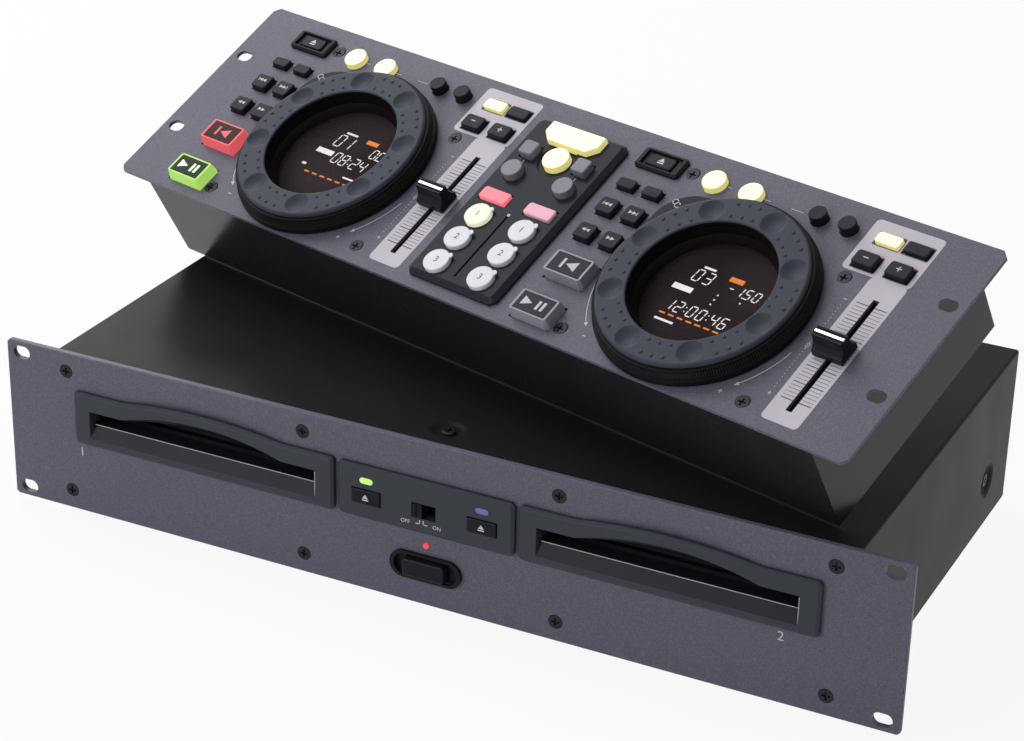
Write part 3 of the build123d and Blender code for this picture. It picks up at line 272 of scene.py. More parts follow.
def finish(name, colour, smooth, rough, level=0.5, grain=(2500.0, 0.1), cloud=None, metallic=0.0):
    """A moulded surface: colour, roughness range, specular level, grain per metre and its depth, clouds."""
    return covered(name, moulded, {
        "Colour": (*colour, 1), "Cloud Colour": (*(cloud or [c * 1.25 for c in colour]), 1),
        "Grain Scale": grain[0], "Grain Depth": grain[1], "Smooth": smooth, "Rough": rough}, level, metallic)


def dress(piece, *materials):
    """Gives a piece these materials in place of the ones it has."""
    piece.data.materials.clear()
    for material in materials:
        piece.data.materials.append(material)


def made_plain(piece):
    """Works the modifiers of a piece into a plain mesh."""
    bpy.context.view_layer.update()
    seen = piece.evaluated_get(bpy.context.evaluated_depsgraph_get())
    plain = bpy.data.meshes.new_from_object(seen)
    piece.modifiers.clear()
    piece.data = plain


def softened(node, width, material, segments=2, edge=None):
    """Stands for a CAD node: its merged copy with small round edges, which may have their own material."""
    mesh = frame["nodes"][node].data.copy()
    piece = bpy.data.objects.new(node + ".eased", mesh)
    scene.collection.objects.link(piece)
    form = bmesh.new()
    form.from_mesh(mesh)
    bmesh.ops.remove_doubles(form, verts=form.verts, dist=WELD)
    bmesh.ops.dissolve_limit(form, angle_limit=FLAT_WITHIN, verts=form.verts, edges=form.edges)
    form.to_mesh(mesh)
    form.free()
    bevel = piece.modifiers.new("rounded", "BEVEL")
    bevel.width = width * mm
    bevel.segments = segments
    bevel.angle_limit = ROUND_OVER
    bevel.material = 1 if edge else -1
    dress(piece, material, *([edge] if edge else []))
    made_plain(piece)
    piece.data.polygons.foreach_set("use_smooth", [True] * len(piece.data.polygons))
    piece.data.set_sharp_from_angle(angle=SHARP_OVER)
    piece.modifiers.new("flat faces", "WEIGHTED_NORMAL").keep_sharp = True
    made_plain(piece)
    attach(piece, frame["nodes"][node]["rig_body"])
    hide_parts(node)
    return piece


cover_paint = finish("cover_paint", COVER_BLACK, 0.3, 0.38, 0.03, (1800.0, 0.12))
foot_rubber = finish("foot_rubber", (0.02, 0.02, 0.02), 0.6, 0.8, 0.1, (900.0, 0.4))
softened("player_top_cover", 0.25, cover_paint)
softened("player_rear_panel", 0.1, cover_paint)
softened("player_feet", 0.8, foot_rubber, 3)


# ---------------- inside of the player
# Zinc-plated tray, boards and the two drives. Little of it shows: only what a look through
# a disc slot meets, so the drives are dark, and the tray's edge shows as a line at the back.
zinc = finish("zinc_plate", (0.42, 0.43, 0.45), 0.3, 0.45, grain=(600.0, 0.1), metallic=1.0)
drive_black = finish("drive_black", (0.012, 0.012, 0.013), 0.5, 0.7, 0.1)
board = finish("circuit_board", (0.01, 0.09, 0.035), 0.35, 0.5, grain=(900.0, 0.3))
# The control unit's board is a near-black copy of the green board: painted shade under the panel, seen
# through the fader slots.
dark_board = finish("dark_board", (0.004, 0.009, 0.006), 0.5, 0.6, 0.05, (900.0, 0.3))
roller_rubber = finish("roller_rubber", (0.015, 0.015, 0.015), 0.7, 0.85, 0.1, (3000.0, 0.3))
socket_black = finish("socket_black", (0.02, 0.02, 0.021), 0.35, 0.5, 0.2)
for nodes, material in (
        (("player_chassis",), zinc), (("player_electronics",), board), (("controller_board",), dark_board),
        (("rear_connectors", "controller_sockets"), socket_black),
        (("loading_roller_a", "loading_roller_b"), roller_rubber),
        ([f"{kind}_{side}" for kind in ("drive_deck", "turntable", "laser_pickup") for side in "ab"],
         drive_black)):
    for node in nodes:
        dress(frame["nodes"][node], material)


# ---------------- rack panels and case
# Both panels are painted plates: a blue-grey base coat with fine bright flakes under a satin clear coat.
# Their rounded edges are painted bright: a painted highlight where light catches them. The control unit's
# sheet case hangs under its panel.
FLAKE_SCALE = 3000.0
FLAKE_CROWD = 3.0
PANEL_GREY = (0.108, 0.105, 0.146)
FLAKE_GREY = (0.50, 0.49, 0.62)


def flake_tree():
    """Metal flakes in paint: brighter grains in its colour and bump, and soft clouds in its gloss."""
    tree, given, made = new_tree("metal_flakes", "ShaderNodeTree", (
        ("Colour", "Color"), ("Flake Colour", "Color"), ("Scale", "Float", FLAKE_SCALE),
        ("Share", "Float", 0.2), ("Depth", "Float", 0.3)), SURFACE)
    place = wired(tree, "ShaderNodeTexCoord").outputs["Object"]
    cells = wired(tree, "ShaderNodeTexVoronoi", {"Vector": place, "Scale": given["Scale"]})
    parts = wired(tree, "ShaderNodeSeparateColor", {"Color": cells.outputs["Color"]}).outputs
    share = worked(tree, "MULTIPLY", worked(tree, "POWER", parts["Red"], FLAKE_CROWD), given["Share"])
    feed(tree, made, {
        "Colour": blended(tree, share, given["Colour"], given["Flake Colour"]),
        "Roughness": spread(tree, noise(tree, 22.0, CLOUD_DETAIL), 0.38, 0.46),
        "Normal": relief(tree, given["Depth"], parts["Green"])})
    return tree


panel_paint = covered("panel_paint", flake_tree(), {
    "Colour": (*PANEL_GREY, 1), "Flake Colour": (*FLAKE_GREY, 1)}, 0.18)
# A pale blue-grey for the rounded panel edges: a painted highlight.
worn_edge = finish("worn_edge", (0.55, 0.54, 0.62), 0.3, 0.45, 0.4, (1500.0, 0.2), (0.30, 0.29, 0.35))
case_paint = finish("case_paint", (0.018, 0.018, 0.021), 0.22, 0.3, 0.22, (1800.0, 0.08))
softened("player_front_panel", 0.3, panel_paint, edge=worn_edge)
softened("controller_panel", 0.3, panel_paint, edge=worn_edge)
softened("controller_case", 0.3, case_paint)


# ---------------- front fittings
# Moulded slate plastic: a bevelled frame round each disc slot, the block in the middle and the
# stadium rim of the power button. All are clipped in from the front and stand proud of the panel.
# A straight ramp is the lower lip of each slot, in a darker copy of the slate for painted shade inside the
# slot, with a painted highlight line along its front and up its right end: depths and heights in mm.
LIP_RAMP = ((-3.39, 1.08), (0.4, 7.68), (9.9, 7.68), (9.9, 5.0), (-3.39, 0.8))
LIP_HALF, LINE_WIDTH = 65.4, 0.3
LIP_HIGHLIGHT = ((0.1, 7.7), (0.4, 7.7), (0.4, 8.0), (0.1, 8.0))
END_HIGHLIGHT = ((-3.3, 1.6), (-3.0, 1.6), (-3.0, 15.4), (-3.3, 15.4))


def bar_between(form, foot, head):
    """Adds a closed bar between two outlines of the same number of points."""
    ends = [[form.verts.new(point) for point in outline] for outline in (foot, head)]
    form.faces.new(ends[0][::-1])
    form.faces.new(ends[1])
    for i in range(len(foot)):
        j = (i + 1) % len(foot)
        form.faces.new((ends[0][i], ends[0][j], ends[1][j], ends[1][i]))


def beam(form, section, x0, x1):
    """Adds a bar of one section, in depth and height, between two places along the front."""
    bar_between(form, [(x0, y, z) for y, z in section], [(x1, y, z) for y, z in section])


def put(name, mesh, body=None, slot=None, *materials):
    """A piece of this mesh, on its body if it has one."""
    piece = bpy.data.objects.new(name, mesh)
    scene.collection.objects.link(piece)
    dress(piece, *materials)
    if body:
        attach(piece, body)
    return piece


def settled(form, name, place, material, body=None, slot=None, smooth=False):
    """Turns a drawing in millimetres into a piece that stands at a place and rides on a body."""
    bmesh.ops.recalc_face_normals(form, faces=form.faces)
    mesh = bpy.data.meshes.new(name)
    form.to_mesh(mesh)
    form.free()
    mesh.transform(place @ Matrix.Scale(mm, 4))
    if smooth:
        mesh.polygons.foreach_set("use_smooth", [True] * len(mesh.polygons))
        mesh.set_sharp_from_angle(angle=math.radians(40))
    return put(name, mesh, body, slot, material)


slate = finish("slate_plastic", (0.036, 0.041, 0.052), 0.34, 0.42, 0.2, (2200.0, 0.1))
deep_black = finish("deep_black", (0.012, 0.012, 0.015), 0.3, 0.4, 0.08, (2600.0, 0.08))
plate_black = finish("plate_black", (0.020, 0.023, 0.029), 0.2, 0.28, 0.07, (2400.0, 0.05))
# A darker copy of the slate plastic for the slot's lower lip: painted shade inside the slot.
ramp_dark = finish("ramp_dark", (0.013, 0.015, 0.019), 0.34, 0.42, 0.12, (2200.0, 0.1))
# A pale line along the lip's front and up its right end: a painted highlight.
lip_bright = finish("lip_bright", (0.55, 0.54, 0.60), 0.3, 0.4, 0.3, (1500.0, 0.05))
softened("slot_bezel_a", 0.3, slate)
softened("slot_bezel_b", 0.3, slate)
for side in "ab":
    low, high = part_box(f"slot_bezel_{side}")
    left = (low.x + high.x) / 2 / mm - LIP_HALF
    right = left + 2 * LIP_HALF
    form = bmesh.new()
    beam(form, LIP_RAMP, left, right)
    settled(form, f"slot_lip_{side}", Matrix(), ramp_dark, "player", "slate_plastic")
    # The painted highlight line of the lip.
    form = bmesh.new()
    beam(form, LIP_HIGHLIGHT, left + 1, right - 0.4)
    beam(form, END_HIGHLIGHT, right - LINE_WIDTH, right)
    settled(form, f"slot_lip_line_{side}", Matrix(), lip_bright, "player", "slate_plastic")
softened("center_fascia", 0.3, slate)
softened("power_bezel", 0.3, deep_black, 3)
softened("eject_key_bezels", 0.3, deep_black)
softened("center_plate", 0.4, plate_black, 3)


# ---------------- screws
# Blackened countersunk screws hold both panels, and a pan-headed one sits in each dish of the cover.
# Every head has a cross recess; one head of each sort is made and set at each screw's place.
CROSS_LONG, CROSS_WIDE, CROSS_DEEP = 4.2, 0.95, 1.1
HEAD_STEPS = 28
FLAT_HEAD = (3.7, 1.5, 0.25)
PAN_HEAD = (3.6, 1.6, 0.8)
HEAD_SUNK = 0.9 * mm
FRONT_DEPTH, COVER_MIDDLE, COVER_SIDE = 8 * mm, 0.1, 0.21

# The joints and mounts give the places: across, up and out of the control panel, and of the front.
mounts = {mount["name"]: mount for mount in frame["record"]["mounts"]}
joints = {joint["name"]: joint for joint in frame["joints"]}
normal = Vector(joints["jog_dial_a_spin"]["axis"])
along = Vector(joints["tempo_fader_a_slide"]["axis"])
on_panel = Matrix((along.cross(normal), along, normal)).transposed().to_4x4()
on_panel.translation = Vector(mounts["controller_rack_slots"]["pos_m"])
from_panel = on_panel.inverted()
on_front = Matrix(((1, 0, 0), (0, 0, -1), (0, 1, 0))).to_4x4()


def moved(frame_of, x, y, z=0.0):
    """A place at a distance in millimetres from another one."""
    return frame_of @ Matrix.Translation((x * mm, y * mm, z * mm))


def clusters(elements, neighbours):
    """Splits mesh elements into connected groups."""
    left, groups = dict.fromkeys(elements), []
    while left:
        group = [left.popitem()[0]]
        for element in group:
            for other in neighbours(element):
                if other in left:
                    del left[other]
                    group.append(other)
        groups.append(group)
    return groups


def shells_of(node):
    """The points of each separate shell of a CAD node."""
    form = bmesh.new()
    form.from_mesh(frame["nodes"][node].data)
    bmesh.ops.remove_doubles(form, verts=form.verts, dist=WELD)
    groups = clusters(form.verts, lambda vertex: [link.other_vert(vertex) for link in vertex.link_edges])
    shells = [[vertex.co.copy() for vertex in group] for group in groups]
    form.free()
    return shells


def middle(points):
    """The centre of the points' box."""
    return Vector([(min(p[i] for p in points) + max(p[i] for p in points)) / 2 for i in range(3)])


def prism(form, points, low, high):
    """Adds a closed prism over a flat outline, in millimetres."""
    bar_between(form, [(x, y, low) for x, y in points], [(x, y, high) for x, y in points])


def circle(radius, steps, x=0.0, y=0.0):
    """Points round a circle."""
    turns = [2 * math.pi * i / steps for i in range(steps)]
    return [(x + radius * math.cos(turn), y + radius * math.sin(turn)) for turn in turns]


def cut_by(piece, form, place):
    """Cuts a drawn form out of a piece."""
    cutter = settled(form, piece.name + "_cutter", place, piece.data.materials[0])
    cut = piece.modifiers.new("cut", "BOOLEAN")
    cut.operation = "DIFFERENCE"
    cut.object = cutter
    made_plain(piece)
    bpy.data.objects.remove(cutter)


def screw_head(name, radius, height, dome):
    """One head on a face at height 0: a low dome with its cross recess cut in."""
    form = bmesh.new()
    prism(form, circle(radius, HEAD_STEPS), -height, 0)
    rim = [edge for edge in form.edges if all(abs(v.co.z) < 1e-6 for v in edge.verts)]
    bmesh.ops.bevel(form, geom=rim, offset=dome, segments=3, affect="EDGES", profile=0.5)
    head = settled(form, name, Matrix(), screw_black)
    far, thin = CROSS_LONG / 2, CROSS_WIDE / 2
    form = bmesh.new()
    prism(form, [(far, -thin), (far, thin), (thin, thin), (thin, far), (-thin, far), (-thin, thin),
                 (-far, thin), (-far, -thin), (-thin, -thin), (-thin, -far), (thin, -far), (thin, -thin)],
          -CROSS_DEEP, 1)
    cut_by(head, form, Matrix())
    return head


def rule_tree(name, inputs):
    """A geometry tree with its own inputs between the geometry and the material that it sets."""
    return new_tree(name, "GeometryNodeTree", (
        ("Geometry", "Geometry"), *inputs, ("Material", "Material")), (("Geometry", "Geometry"),))


def closed_tree(tree, given, made, points, instance, euler=(0, 0, 0)):
    """Ends a geometry tree: sets the instance on each point, makes it real and coats it."""
    turn = first(tree, "FunctionNodeEulerToRotation", {"Euler": euler})
    many = first(tree, "GeometryNodeInstanceOnPoints", {
        "Points": points, "Instance": instance, "Rotation": turn})
    real = first(tree, "GeometryNodeRealizeInstances", {"Geometry": many})
    coat = first(tree, "GeometryNodeSetMaterial", {"Geometry": real, "Material": given["Material"]})
    feed(tree, made, {"Geometry": coat})
    return tree


def scatter_tree():
    """Sets a piece at every point, all turned alike: what the screws of a panel share."""
    tree, given, made = rule_tree("set_at_points", (("Piece", "Object"), ("Turn", "Vector")))
    piece = wired(tree, "GeometryNodeObjectInfo", {"Object": given["Piece"]}).outputs["Geometry"]
    return closed_tree(tree, given, made, given["Geometry"], piece, given["Turn"])


def grown(tree, name, values, body, points=(), place=Matrix()):
    """A piece that a geometry tree makes from its named inputs, as a plain mesh at a place on a body."""
    mesh = bpy.data.meshes.new(name)
    mesh.from_pydata(list(points), [], [])
    piece = put(name, mesh)
    rule = piece.modifiers.new("rule", "NODES")
    rule.node_group = tree
    sockets = {item.name: item.identifier for item in tree.interface.items_tree if item.in_out == "INPUT"}
    for label, value in values.items():
        rule[sockets[label]] = value
    made_plain(piece)
    piece.data.transform(place)
    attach(piece, body)
    return piece


def on_plane(points, axis, level):
    """The points, each brought to a level along one axis."""
    return [Vector([level if i == axis else p[i] for i in range(3)]) for p in points]


screw_black = finish("screw_black", (0.022, 0.022, 0.026), 0.3, 0.42, 0.15, (2000.0, 0.15), metallic=0.4)
at_points = scatter_tree()
flat_head = screw_head("flat_head", *FLAT_HEAD)
pan_head = screw_head("pan_head", *PAN_HEAD)
tops = [from_panel @ middle(shell) for shell in shells_of("controller_screws")]
screws = [middle(shell) for shell in shells_of("player_screws")]
cover_low, cover_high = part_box("player_top_cover")
quarter = Matrix.Rotation(math.pi / 2, 4, "Y")
for name, body, head, turn, spots in (
        ("controller_screw_heads", "controller", flat_head, on_panel,
         [on_panel @ p for p in on_plane(tops, 2, 0)]),
        ("player_screw_heads", "player", flat_head, on_front,
         on_plane([p for p in screws if p.y < FRONT_DEPTH], 1, 0)),
        ("cover_screw_head", "player", pan_head, Matrix(),
         on_plane([p for p in screws if p.y > FRONT_DEPTH and abs(p.x) < COVER_MIDDLE], 2,
                  cover_high.z - HEAD_SUNK)),
        ("right_side_screw_head", "player", pan_head, quarter,
         on_plane([p for p in screws if p.x > COVER_SIDE], 0, cover_high.x - HEAD_SUNK)),
        ("left_side_screw_head", "player", pan_head, quarter.inverted(),
         on_plane([p for p in screws if p.x < -COVER_SIDE], 0, cover_low.x + HEAD_SUNK))):
    heads = grown(at_points, name, {"Piece": head, "Turn": turn.to_euler(), "Material": screw_black},
                  body, spots)
    if name == "controller_screw_heads":
        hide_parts("controller_screws")
    elif name == "cover_screw_head":
        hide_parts("player_screws")
bpy.data.objects.remove(flat_head)
bpy.data.objects.remove(pan_head)


# ---------------- keys of the control unit
# Moulded caps. Some are clear and lit from below, some are plain black, white or grey lilac.
# The two large keys of each deck are clear with a dark plate let into the top.
# The middles of the two decks, left and right of the middle of the panel, in mm.
DECKS = (("a", -123.5), ("b", 123.5))
PATCH_SCALE = 140.0
FLANK_UNDER = 0.75


def lit(name, colour, strength, base=None):
    """A translucent cap with a lamp under it: it glows in its own colour, brighter in soft patches."""
    material = finish(name, base or colour, 0.25, 0.35, 0.25, (1500.0, 0.05))
    tree = material.node_tree
    glow = blended(tree, noise(tree, PATCH_SCALE), (*[c * 0.85 for c in colour], 1), (*colour, 1))
    feed(tree, tree.nodes["Principled BSDF"].inputs, {"Emission Strength": strength, "Emission Color": glow})
    return material


black_key = finish("black_key", (0.013, 0.014, 0.019), 0.2, 0.28, 0.08, (2600.0, 0.04))
white_key = finish("white_key", (0.86, 0.86, 0.92), 0.25, 0.35, 0.3, (1500.0, 0.04), (0.78, 0.78, 0.84))
lilac_key = finish("lilac_key", (0.25, 0.24, 0.31), 0.28, 0.38, 0.3, (1500.0, 0.05), (0.16, 0.16, 0.20))
grey_clear = finish("grey_clear", (0.22, 0.23, 0.27), 0.2, 0.3, 0.3, (900.0, 0.05), (0.34, 0.35, 0.41))
pale_pink = finish("pale_pink", (0.86, 0.44, 0.54), 0.28, 0.38, 0.3, (1500.0, 0.04))
plate_dark, plate_red, plate_green = [
    finish(name, colour, 0.3, 0.4, 0.08, (2400.0, 0.08), cloud) for name, colour, cloud in (
        ("plate_dark", (0.022, 0.024, 0.032), None),
        ("plate_red", (0.055, 0.010, 0.014), (0.03, 0.008, 0.010)),
        ("plate_green", (0.010, 0.022, 0.010), (0.014, 0.03, 0.012)))]
yellow_lit = lit("yellow_lit", (1.0, 0.97, 0.70), 0.9, (0.40, 0.38, 0.24))
yellow_rim = lit("yellow_rim", (0.95, 0.86, 0.30), 0.62, (0.30, 0.27, 0.10))
warm_white_lit = lit("warm_white_lit", (1.0, 0.95, 0.74), 0.6, (0.5, 0.48, 0.40))
red_lit = lit("red_lit", (1.0, 0.14, 0.17), 0.62, (0.30, 0.04, 0.05))
pink_lit = lit("pink_lit", (1.0, 0.19, 0.24), 0.72, (0.40, 0.12, 0.14))
green_lit = lit("green_lit", (0.54, 0.95, 0.18), 0.62, (0.18, 0.30, 0.07))
sign_green = lit("sign_green", (0.62, 1.0, 0.50), 0.9)
yellow_sides = {yellow_lit: yellow_rim}


def breadth(points):
    """How far the points reach from left to right."""
    return max(p.x for p in points) - min(p.x for p in points)


def paint_shells(piece, materials, rule, rims=None):
    """Gives each shell the material that a rule picks by its place; rims gives the one of its flanks."""
    rims = rims or {}
    dress(piece, *materials, *rims.values())
    form = bmesh.new()
    form.from_mesh(piece.data)
    touching = lambda face: [other for edge in face.edges for other in edge.link_faces]
    for shell in clusters(form.faces, touching):
        points = [from_panel @ vertex.co / mm for face in shell for vertex in face.verts]
        picked = rule(middle(points), points)
        for face in shell:
            if picked in rims and face.normal.dot(normal) < FLANK_UNDER:
                face.material_index = len(materials) + list(rims).index(picked)
            else:
                face.material_index = materials.index(picked)
    form.to_mesh(piece.data)
    form.free()


for side, shift in DECKS:
    softened(f"search_buttons_{side}", 0.35, black_key)
    paint_shells(softened(f"loop_buttons_{side}", 0.5, black_key, 3), [yellow_lit, black_key],
                 lambda at, points: yellow_lit if breadth(points) > 11 else black_key, yellow_sides)
    paint_shells(softened(f"tempo_buttons_{side}", 0.35, black_key), [yellow_lit, black_key],
                 lambda at, points: yellow_lit if at.y > 43 and at.x - shift < 70 else black_key,
                 yellow_sides)
    glowing = side == "a"
    for node, lamp, tinted in (("cue_button", red_lit, plate_red), ("play_button", green_lit, plate_green)):
        cap, plate = (lamp, tinted) if glowing else (grey_clear, plate_dark)
        paint_shells(softened(f"{node}_{side}", 0.3, cap), [cap, plate],
                     lambda at, points: cap if breadth(points) > 21 else plate)
    hot = softened(f"hot_cue_buttons_{side}", 0.6, white_key, 3)
    if glowing:
        paint_shells(hot, [warm_white_lit, white_key],
                     lambda at, points: warm_white_lit if at.y > -25 else white_key)
    softened(f"eject_button_{side}", 0.3, black_key)
    softened(f"jog_mode_button_{side}", 0.3, black_key)
    softened(f"player_eject_button_{side}", 0.25, black_key)
softened("display_buttons", 0.35, black_key)
softened("auto_buttons", 0.4, lilac_key)
softened("tap_buttons", 0.5, lilac_key, 3)
paint_shells(softened("record_buttons", 0.6, pink_lit, 3), [pink_lit, pale_pink],
             lambda at, points: pink_lit if at.x < 0 else pale_pink)
for node in ("sync_bar_button", "sync_round_button"):
    paint_shells(softened(node, 0.5, yellow_lit, 3), [yellow_lit], lambda at, points: yellow_lit,
                 yellow_sides)
softened("power_button", 0.5, black_key, 3)
softened("mode_switch", 0.25, black_key)


# ---------------- jog dials
# Each dial is a thick slate ring over a black knurled band and skirt, and turns on a sleeve.
# Its face has eight round finger hollows with small studs between them, to be felt in the dark.
# A dark cone rims the window inside the sleeve. Sizes in mm, angles in degrees.
FACE_IN, FACE_OUT, FACE_TOP = 36.5, 51.6, 11.6
HOLLOWS, HOLLOW_CIRCLE, HOLLOW_RADIUS, HOLLOW_DEEP = 8, 43.9, 6.5, 2.2
DIAL_TURNS = {"a": 18.0, "b": 30.0}
TURN_STEPS, FACE_STEPS, CORNER_STEPS, CONE_STEPS = 560, 48, 4, 120
# Rows of studs, outer and inner: circle, angle between two, radius of a stud.
STUD_ROWS = ((47.6, 7.2, 1.05), (39.9, 8.6, 0.95))
KNURL = {"Count": 260, "Radius": 53.15 * mm, "Middle": 6.3 * mm, "Size": (0.9 * mm, 0.55 * mm, 3.3 * mm)}
# The section below the rim: the band that carries the knurl, and the skirt with the sleeve's bore.
BAND_LINE = [(53.5, 8.2), (53.2, 8.0), (53.2, 4.6), (53.6, 4.3)]
BORE_LINE = [(55, 0.8), (51.5, 0.8), (51.5, 7.5), (40.4, 7.5), (40.4, 0.8), (38.15, 0.8), (38.15, 9.0),
             (FACE_IN, 9.0)]
WELL_LINE = ((36.35, 3.0), (33.6, -1.3), (33.6, -1.42), (36.35, -1.42))


def hollow_depth(radius, height, angle, start):
    """How far the face is dished at a point: a spherical hollow with a crisp rim."""
    if height < FACE_TOP - 1e-6:
        return 0.0
    pitch = 2 * math.pi / HOLLOWS
    near = (angle - math.radians(start) + pitch / 2) % pitch - pitch / 2
    reach = math.hypot(radius * math.cos(near) - HOLLOW_CIRCLE, radius * math.sin(near)) / HOLLOW_RADIUS
    return HOLLOW_DEEP * max(0.0, 1 - reach * reach)


def arc_points(cx, cy, radius, start, end, steps=6):
    """Points on an arc, angles in degrees."""
    turns = [math.radians(start + (end - start) * i / steps) for i in range(steps + 1)]
    return [(cx + radius * math.cos(turn), cy + radius * math.sin(turn)) for turn in turns]


def corner(radius, height, size, start):
    """A quarter circle inside a corner of a section, clockwise from an angle."""
    return arc_points(radius - size, height - size, size, start, start - 90, CORNER_STEPS)


def turned(line, steps, sink=lambda *point: 0.0):
    """A form turned from a closed section of radius and height, its points sunk by their place."""
    form = bmesh.new()
    rings = []
    for radius, height in line:
        rings.append([])
        for step in range(steps):
            turn = 2 * math.pi * step / steps
            rings[-1].append(form.verts.new((
                radius * math.cos(turn), radius * math.sin(turn), height - sink(radius, height, turn))))
    for i, ring in enumerate(rings):
        other = rings[(i + 1) % len(rings)]
        for step in range(steps):
            ahead = (step + 1) % steps
            form.faces.new((ring[step], ring[ahead], other[ahead], other[step]))
    return form


def points_at(tree, count, x, y, z):
    """A number of points, each at its place."""
    points = first(tree, "GeometryNodePoints", {"Count": count})
    place = first(tree, "ShaderNodeCombineXYZ", {"X": x, "Y": y, "Z": z})
    return first(tree, "GeometryNodeSetPosition", {"Geometry": points, "Position": place})


def points_round(tree, count, angle, radius, height):
    """A number of points round a circle, each at its angle."""
    x, y = (worked(tree, "MULTIPLY", worked(tree, part, angle), radius) for part in ("COSINE", "SINE"))
    return points_at(tree, count, x, y, height)


def stud_tree():
    """Small half-round studs in groups round a circle, all sizes in metres."""
    tree, given, made = rule_tree("stud_ring", (
        ("Groups", "Int"), ("In Group", "Int"), ("Radius", "Float"), ("First", "Float"), ("Step", "Float"),
        ("Height", "Float"), ("Stud Radius", "Float")))
    index = first(tree, "GeometryNodeInputIndex")
    group = worked(tree, "FLOOR", worked(tree, "DIVIDE", index, given["In Group"]))
    within = worked(tree, "SUBTRACT", index, worked(tree, "MULTIPLY", group, given["In Group"]))
    half = worked(tree, "MULTIPLY", worked(tree, "SUBTRACT", given["In Group"], 1), 0.5)
    coarse = worked(tree, "MULTIPLY", group, worked(tree, "DIVIDE", 2 * math.pi, given["Groups"]))
    fine = worked(tree, "MULTIPLY", worked(tree, "SUBTRACT", within, half), given["Step"])
    angle = worked(tree, "ADD", worked(tree, "ADD", coarse, fine), given["First"])
    points = points_round(tree, worked(tree, "MULTIPLY", given["Groups"], given["In Group"]), angle,
                          given["Radius"], given["Height"])
    ball = first(tree, "GeometryNodeMeshUVSphere", {
        "Segments": 12, "Rings": 6, "Radius": given["Stud Radius"]})
    stud = first(tree, "GeometryNodeTransform", {"Geometry": ball, "Scale": (1, 1, 0.7)})
    return closed_tree(tree, given, made, points, stud)


def ridge_tree():
    """Fine upright ridges round a band, all sizes in metres."""
    tree, given, made = rule_tree("ridge_band", (
        ("Count", "Int"), ("Radius", "Float"), ("Middle", "Float"), ("Size", "Vector")))
    index = first(tree, "GeometryNodeInputIndex")
    angle = worked(tree, "MULTIPLY", index, worked(tree, "DIVIDE", 2 * math.pi, given["Count"]))
    points = points_round(tree, given["Count"], angle, given["Radius"], given["Middle"])
    ridge = first(tree, "GeometryNodeMeshCube", {"Size": given["Size"]})
    euler = first(tree, "ShaderNodeCombineXYZ", {"Z": angle})
    return closed_tree(tree, given, made, points, ridge, euler)


edge_line = (corner(FACE_IN + 1.6, FACE_TOP, 0.8, 180)
             + [(FACE_IN + 1.0 + (FACE_OUT - FACE_IN - 2.4) * i / FACE_STEPS, FACE_TOP)
                for i in range(FACE_STEPS + 1)])
dial_slate = finish("dial_slate", (0.042, 0.048, 0.068), 0.42, 0.5, 0.12, (2600.0, 0.1),
                    (0.050, 0.056, 0.078))
dial_black = finish("dial_black", (0.007, 0.006, 0.007), 0.35, 0.45, 0.05, (2600.0, 0.08))
knurl_black = finish("knurl_black", (0.026, 0.024, 0.025), 0.3, 0.4, 0.2, (2600.0, 0.08))
well_brown = finish("well_brown", (0.009, 0.006, 0.007), 0.35, 0.45, 0.05, (2400.0, 0.05))
slate_line = edge_line + corner(FACE_OUT, FACE_TOP, 1.2, 90)
dial_line = (slate_line + [(FACE_OUT, 9.5), (FACE_OUT + 0.2, 9.2)] + corner(53.6, 9.2, 0.6, 90)
             + BAND_LINE + corner(55, 4.0, 0.5, 90) + BORE_LINE)
studs, ridges = stud_tree(), ridge_tree()
dial_places = {}
for side in "ab":
    body, start = f"jog_dial_{side}", DIAL_TURNS[side]
    foot = from_panel @ Vector(joints[f"{body}_spin"]["pos_m"]) / mm
    at = dial_places[side] = moved(on_panel, foot.x, foot.y)
    form = turned(dial_line, TURN_STEPS, lambda *point: hollow_depth(*point, start))
    dial = settled(form, f"jog_ring_{side}", at, dial_slate, body, "slate_plastic", smooth=True)
    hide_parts(body)
    dial.data.materials.append(dial_black)
    dial.data.polygons.foreach_set("material_index", [
        int(i // TURN_STEPS >= len(slate_line)) for i in range(len(dial.data.polygons))])
    for row, (radius, step, size) in enumerate(STUD_ROWS):
        grown(studs, f"jog_studs_{side}_{row}", {
            "Groups": HOLLOWS, "In Group": 3, "Radius": radius * mm, "Step": math.radians(step),
            "First": math.radians(start + 180 / HOLLOWS), "Height": (FACE_TOP - 0.1) * mm,
            "Stud Radius": size * mm, "Material": dial_slate}, body, place=at)
    grown(ridges, f"jog_knurl_{side}", {**KNURL, "Material": knurl_black}, body, place=at)
dress(frame["nodes"]["jog_hubs"], dial_black)
for side in "ab":
    settled(turned(WELL_LINE, CONE_STEPS), f"display_rim_{side}", dial_places[side], well_brown,
            "controller", "black_plastic", smooth=True)


# ---------------- displays
# A tinted window lies in each dial's sleeve, and a dark display shines through it: white figures,
# small boxes and a row of orange dashes. Sizes in mm.
DISPLAY_LEVEL, DISPLAY_RADIUS, DISPLAY_STEPS = -4.45, 33.6, 96
SLANT, THIN = 0.12, 0.05
DASH = (3.4, 0.9)
SEGMENTS = {
    "0": "abcdef", "1": "bc", "2": "abdeg", "3": "abcdg", "4": "bcfg", "5": "acdfg", "6": "acdefg",
    "8": "abcdefg", "-": "g"}
